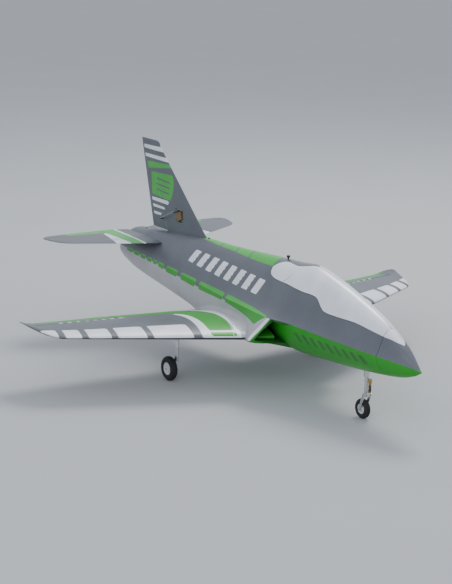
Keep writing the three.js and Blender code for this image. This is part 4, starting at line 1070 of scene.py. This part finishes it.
wheels = {"nose": ((188, 0, 22), 22, 14, "nose_wheel"), "left": ((640, 211, 28.5), 28.5, 17, "left_wheel"),
          "right": ((640, -211, 28.5), 28.5, 17, "right_wheel")}
screwShape = [[0, 1.1], [0.9, 1.1], [1.25, 0.7], [1.25, -0.6]]
for name, (centre, radius, width, body) in wheels.items():
    origin = np.array([plan["noseX"] - centre[0], centre[1], centre[2]]) / 1000
    rim = radius * 0.52
    tyreRing = turned(tyreProfile(radius, width, rim) / 1000, origin, (0, 1, 0), tyre["turns"])
    addPiece(name + "Tyre", [tyreRing], finish["rubber"], body, around=True, angle=30,
             merge=1e-5, replaces=[name + "_tyre"])
    hubRing = turned(hubProfile(rim - 0.15, width, 2.2) / 1000, origin, (0, 1, 0), 64)
    addPiece(name + "Hub", [hubRing], finish["hub"], body, around=True, angle=30, merge=1e-5,
             replaces=[name + "_hub"])
    for k in range(5):
        angle = 2 * math.pi * k / 5
        spot = origin + np.array([math.cos(angle), 0, math.sin(angle)]) * rim * 0.5 / 1000
        for way in (1, -1):
            base = spot + np.array([0, way * 0.165 * width / 1000, 0])
            screw = turned(np.array(screwShape) / 1000, base, (0, way, 0), 14)
            addPiece("%sHubScrew%d%s" % (name, k, "LR"[way > 0]), [screw], finish["steel"], body, around=True)


def aftPoint(aft, out, up):
    return np.array([plan["noseX"] - aft, out, up]) / 1000


# Oleo legs: a sleeve with a clamped collar, a bright piston, and a knuckle.
for side, name in sides:
    foot = aftPoint(630, side * 196, 0)
    leg = [[0, 137.5], [4.6, 137.5], [4.6, 122], [5.4, 121], [5.4, 112], [4.9, 111], [4.9, 84], [5.6, 83],
           [5.6, 79], [4.9, 78.2], [3.1, 78], [3.1, 60], [4.2, 59.5], [4.2, 54], [0, 54]]
    addPiece(name + "LegTube", [turned(np.array(leg) / 1000, foot, (0, 0, 1), 40)], finish["alloy"],
             name + "_leg", around=True, merge=1e-5, angle=35)
noseFoot = aftPoint(178, 0, 0)
noseTube = [[0, 119], [4.4, 118.6], [4.4, 96.5], [3.4, 96], [3.4, 70], [4.3, 69.5], [4.3, 62], [0, 62]]
addPiece("noseLegTube", [turned(np.array(noseTube) / 1000, noseFoot, (0, 0, 1), 40)], finish["alloy"],
         "nose_strut", around=True, merge=1e-5, angle=35)


def coil(origin, low, high, radius, turns):
    # helix with closed ends, upright through origin
    s = np.linspace(0, 1, int(turns * 28))
    turn = 2 * np.pi * turns * s
    lift = low + (high - low) * blend(0.0, 1.0, s) * 0.35 + (high - low) * 0.65 * s
    return np.stack([origin[0] + radius * np.cos(turn), origin[1] + radius * np.sin(turn), lift], 1)


shockAt = aftPoint(166, 0, 0)
shockBody = [[0, 94], [3.3, 93.6], [4.0, 92], [4.0, 84], [2.9, 83.4], [2.9, 80], [3.6, 79.6], [3.6, 78.4],
             [2.0, 78], [2.0, 66.5], [3.2, 66], [3.2, 62.5], [0, 62.2]]
addPiece("noseShockBody", [turned(np.array(shockBody) / 1000, shockAt, (0, 0, 1), 32)], finish["brass"],
         "nose_strut", around=True, merge=1e-5, angle=35, replaces=["nose_shock"])
addPiece("noseShockSpring", [tube(coil(shockAt, 0.0665, 0.0782, 0.0029, 6.5), 0.0005, 8)], finish["black"],
         "nose_strut", around=True, caps=True, merge=1e-6)

# Small fittings: a pin ahead of the fin and two screw covers by it.
fittings = {"finFrontPin": (806, 0, 277), "finScrewFront": (974, 6.4, 262), "finScrewRear": (1094, 4, 252)}
fittingShape = [[0, 6], [2.2, 5.6], [2.8, 4.6], [2.8, 3.4], [1.6, 2.6], [1.6, -3]]
for name, (aft, out, up) in fittings.items():
    knob = turned(np.array(fittingShape) / 1000, aftPoint(aft, -out, up), (0, 0, 1), 20)
    addPiece(name, [knob], finish["black"], "airframe", around=True, merge=1e-6, angle=30)
print("gear and fittings made")


# Finishes of the frame's own pieces.
looks = {"_strut": "alloy", "_leg": "alloy", "_fork": "alloy", "_link": "alloy", "_axle": "steel",
         "_retract_unit": "black", "_servo": "servo", "_servo_arm": "black", "_rod": "steel",
         "_spar_tube": "carbon", "fan_housing": "black", "fan_motor": "alloy", "fan_rotor": "black",
         "exhaust_tube": "carbon", "battery_tray": "ply", "battery": "wrap", "receiver": "black",
         "speed_controller": "black", "canopy_latch": "black", "fuselage_front": "rawFoam",
         "fuselage_rear": "rawFoam"}
for name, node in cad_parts.items():
    key = max((end for end in looks if name.endswith(end)), key=len, default="fuselage_front")
    for place in node.material_slots:
        place.material = finish[looks[key]]
print("frame pieces finished")

# The cutting tools have done their work.
for tool in cuttingTools:
    bpy.data.objects.remove(tool)


# Floor, light and camera.
studio = {"floorSize": 90, "floor": (0.46, 0.47, 0.475), "sky": (0.83, 0.89, 1.0), "skyStrength": 0.95,
          "cameraAt": (3.0840, -2.1167, 1.1052), "look": (-0.81219, 0.53309, -0.23696), "roll": 0.014,
          "lens": 102.5}
half = studio["floorSize"] / 2
floorMesh = bpy.data.meshes.new("floor")
floorCorners = [(-half, -half, 0), (half, -half, 0), (half, half, 0), (-half, half, 0)]
floorMesh.from_pydata(floorCorners, [], [(0, 1, 2, 3)])
floor = bpy.data.objects.new("floor", floorMesh)
bpy.context.scene.collection.objects.link(floor)
floorLook = Graph("paleFloor")
floorTone = floorLook.noise(3, 4)
floorLook.feed(floorLook.shader.inputs["Base Color"], floorLook.mix(floorLook.span(floorTone, 0.3, 0.7),
               tuple(0.97 * v for v in studio["floor"]), studio["floor"]))
floorLook.shader.inputs["Roughness"].default_value = 0.85
floorMesh.materials.append(floorLook.material)

world = bpy.data.worlds.new("softSky")
bpy.context.scene.world = world
world.use_nodes = True
world.node_tree.nodes["Background"].inputs["Color"].default_value = (*studio["sky"], 1)
world.node_tree.nodes["Background"].inputs["Strength"].default_value = studio["skyStrength"]


def addSoftbox(name, place, aim, size, power, color):
    light = bpy.data.lights.new(name, "AREA")
    light.shape, light.size, light.energy, light.color = "DISK", size, power, color
    lamp = bpy.data.objects.new(name, light)
    bpy.context.scene.collection.objects.link(lamp)
    lamp.location = place
    lamp.rotation_euler = (Vector(aim) - Vector(place)).to_track_quat("-Z", "Y").to_euler()


addSoftbox("keyLight", (-1.2, 1.6, 3.4), (0, 0, 0.15), 1.6, 95, (1.0, 0.98, 0.95))
addSoftbox("fillLight", (2.6, -2.6, 2.4), (0, 0, 0.15), 2.6, 45, (0.95, 0.97, 1.0))

look = Vector(studio["look"]).normalized()
flat = look.cross(Vector((0, 0, 1))).normalized()
rise = flat.cross(look)
rollCos, rollSin = math.cos(studio["roll"]), math.sin(studio["roll"])
right, above = flat * rollCos + rise * rollSin, rise * rollCos - flat * rollSin
cameraData = bpy.data.cameras.new("mainCamera")
cameraData.lens, cameraData.sensor_width = studio["lens"], 36
camera = bpy.data.objects.new("mainCamera", cameraData)
bpy.context.scene.collection.objects.link(camera)
turn = Matrix((right, above, -look)).transposed().to_4x4()
camera.matrix_world = Matrix.Translation(studio["cameraAt"]) @ turn
bpy.context.scene.camera = camera
print("stage set")
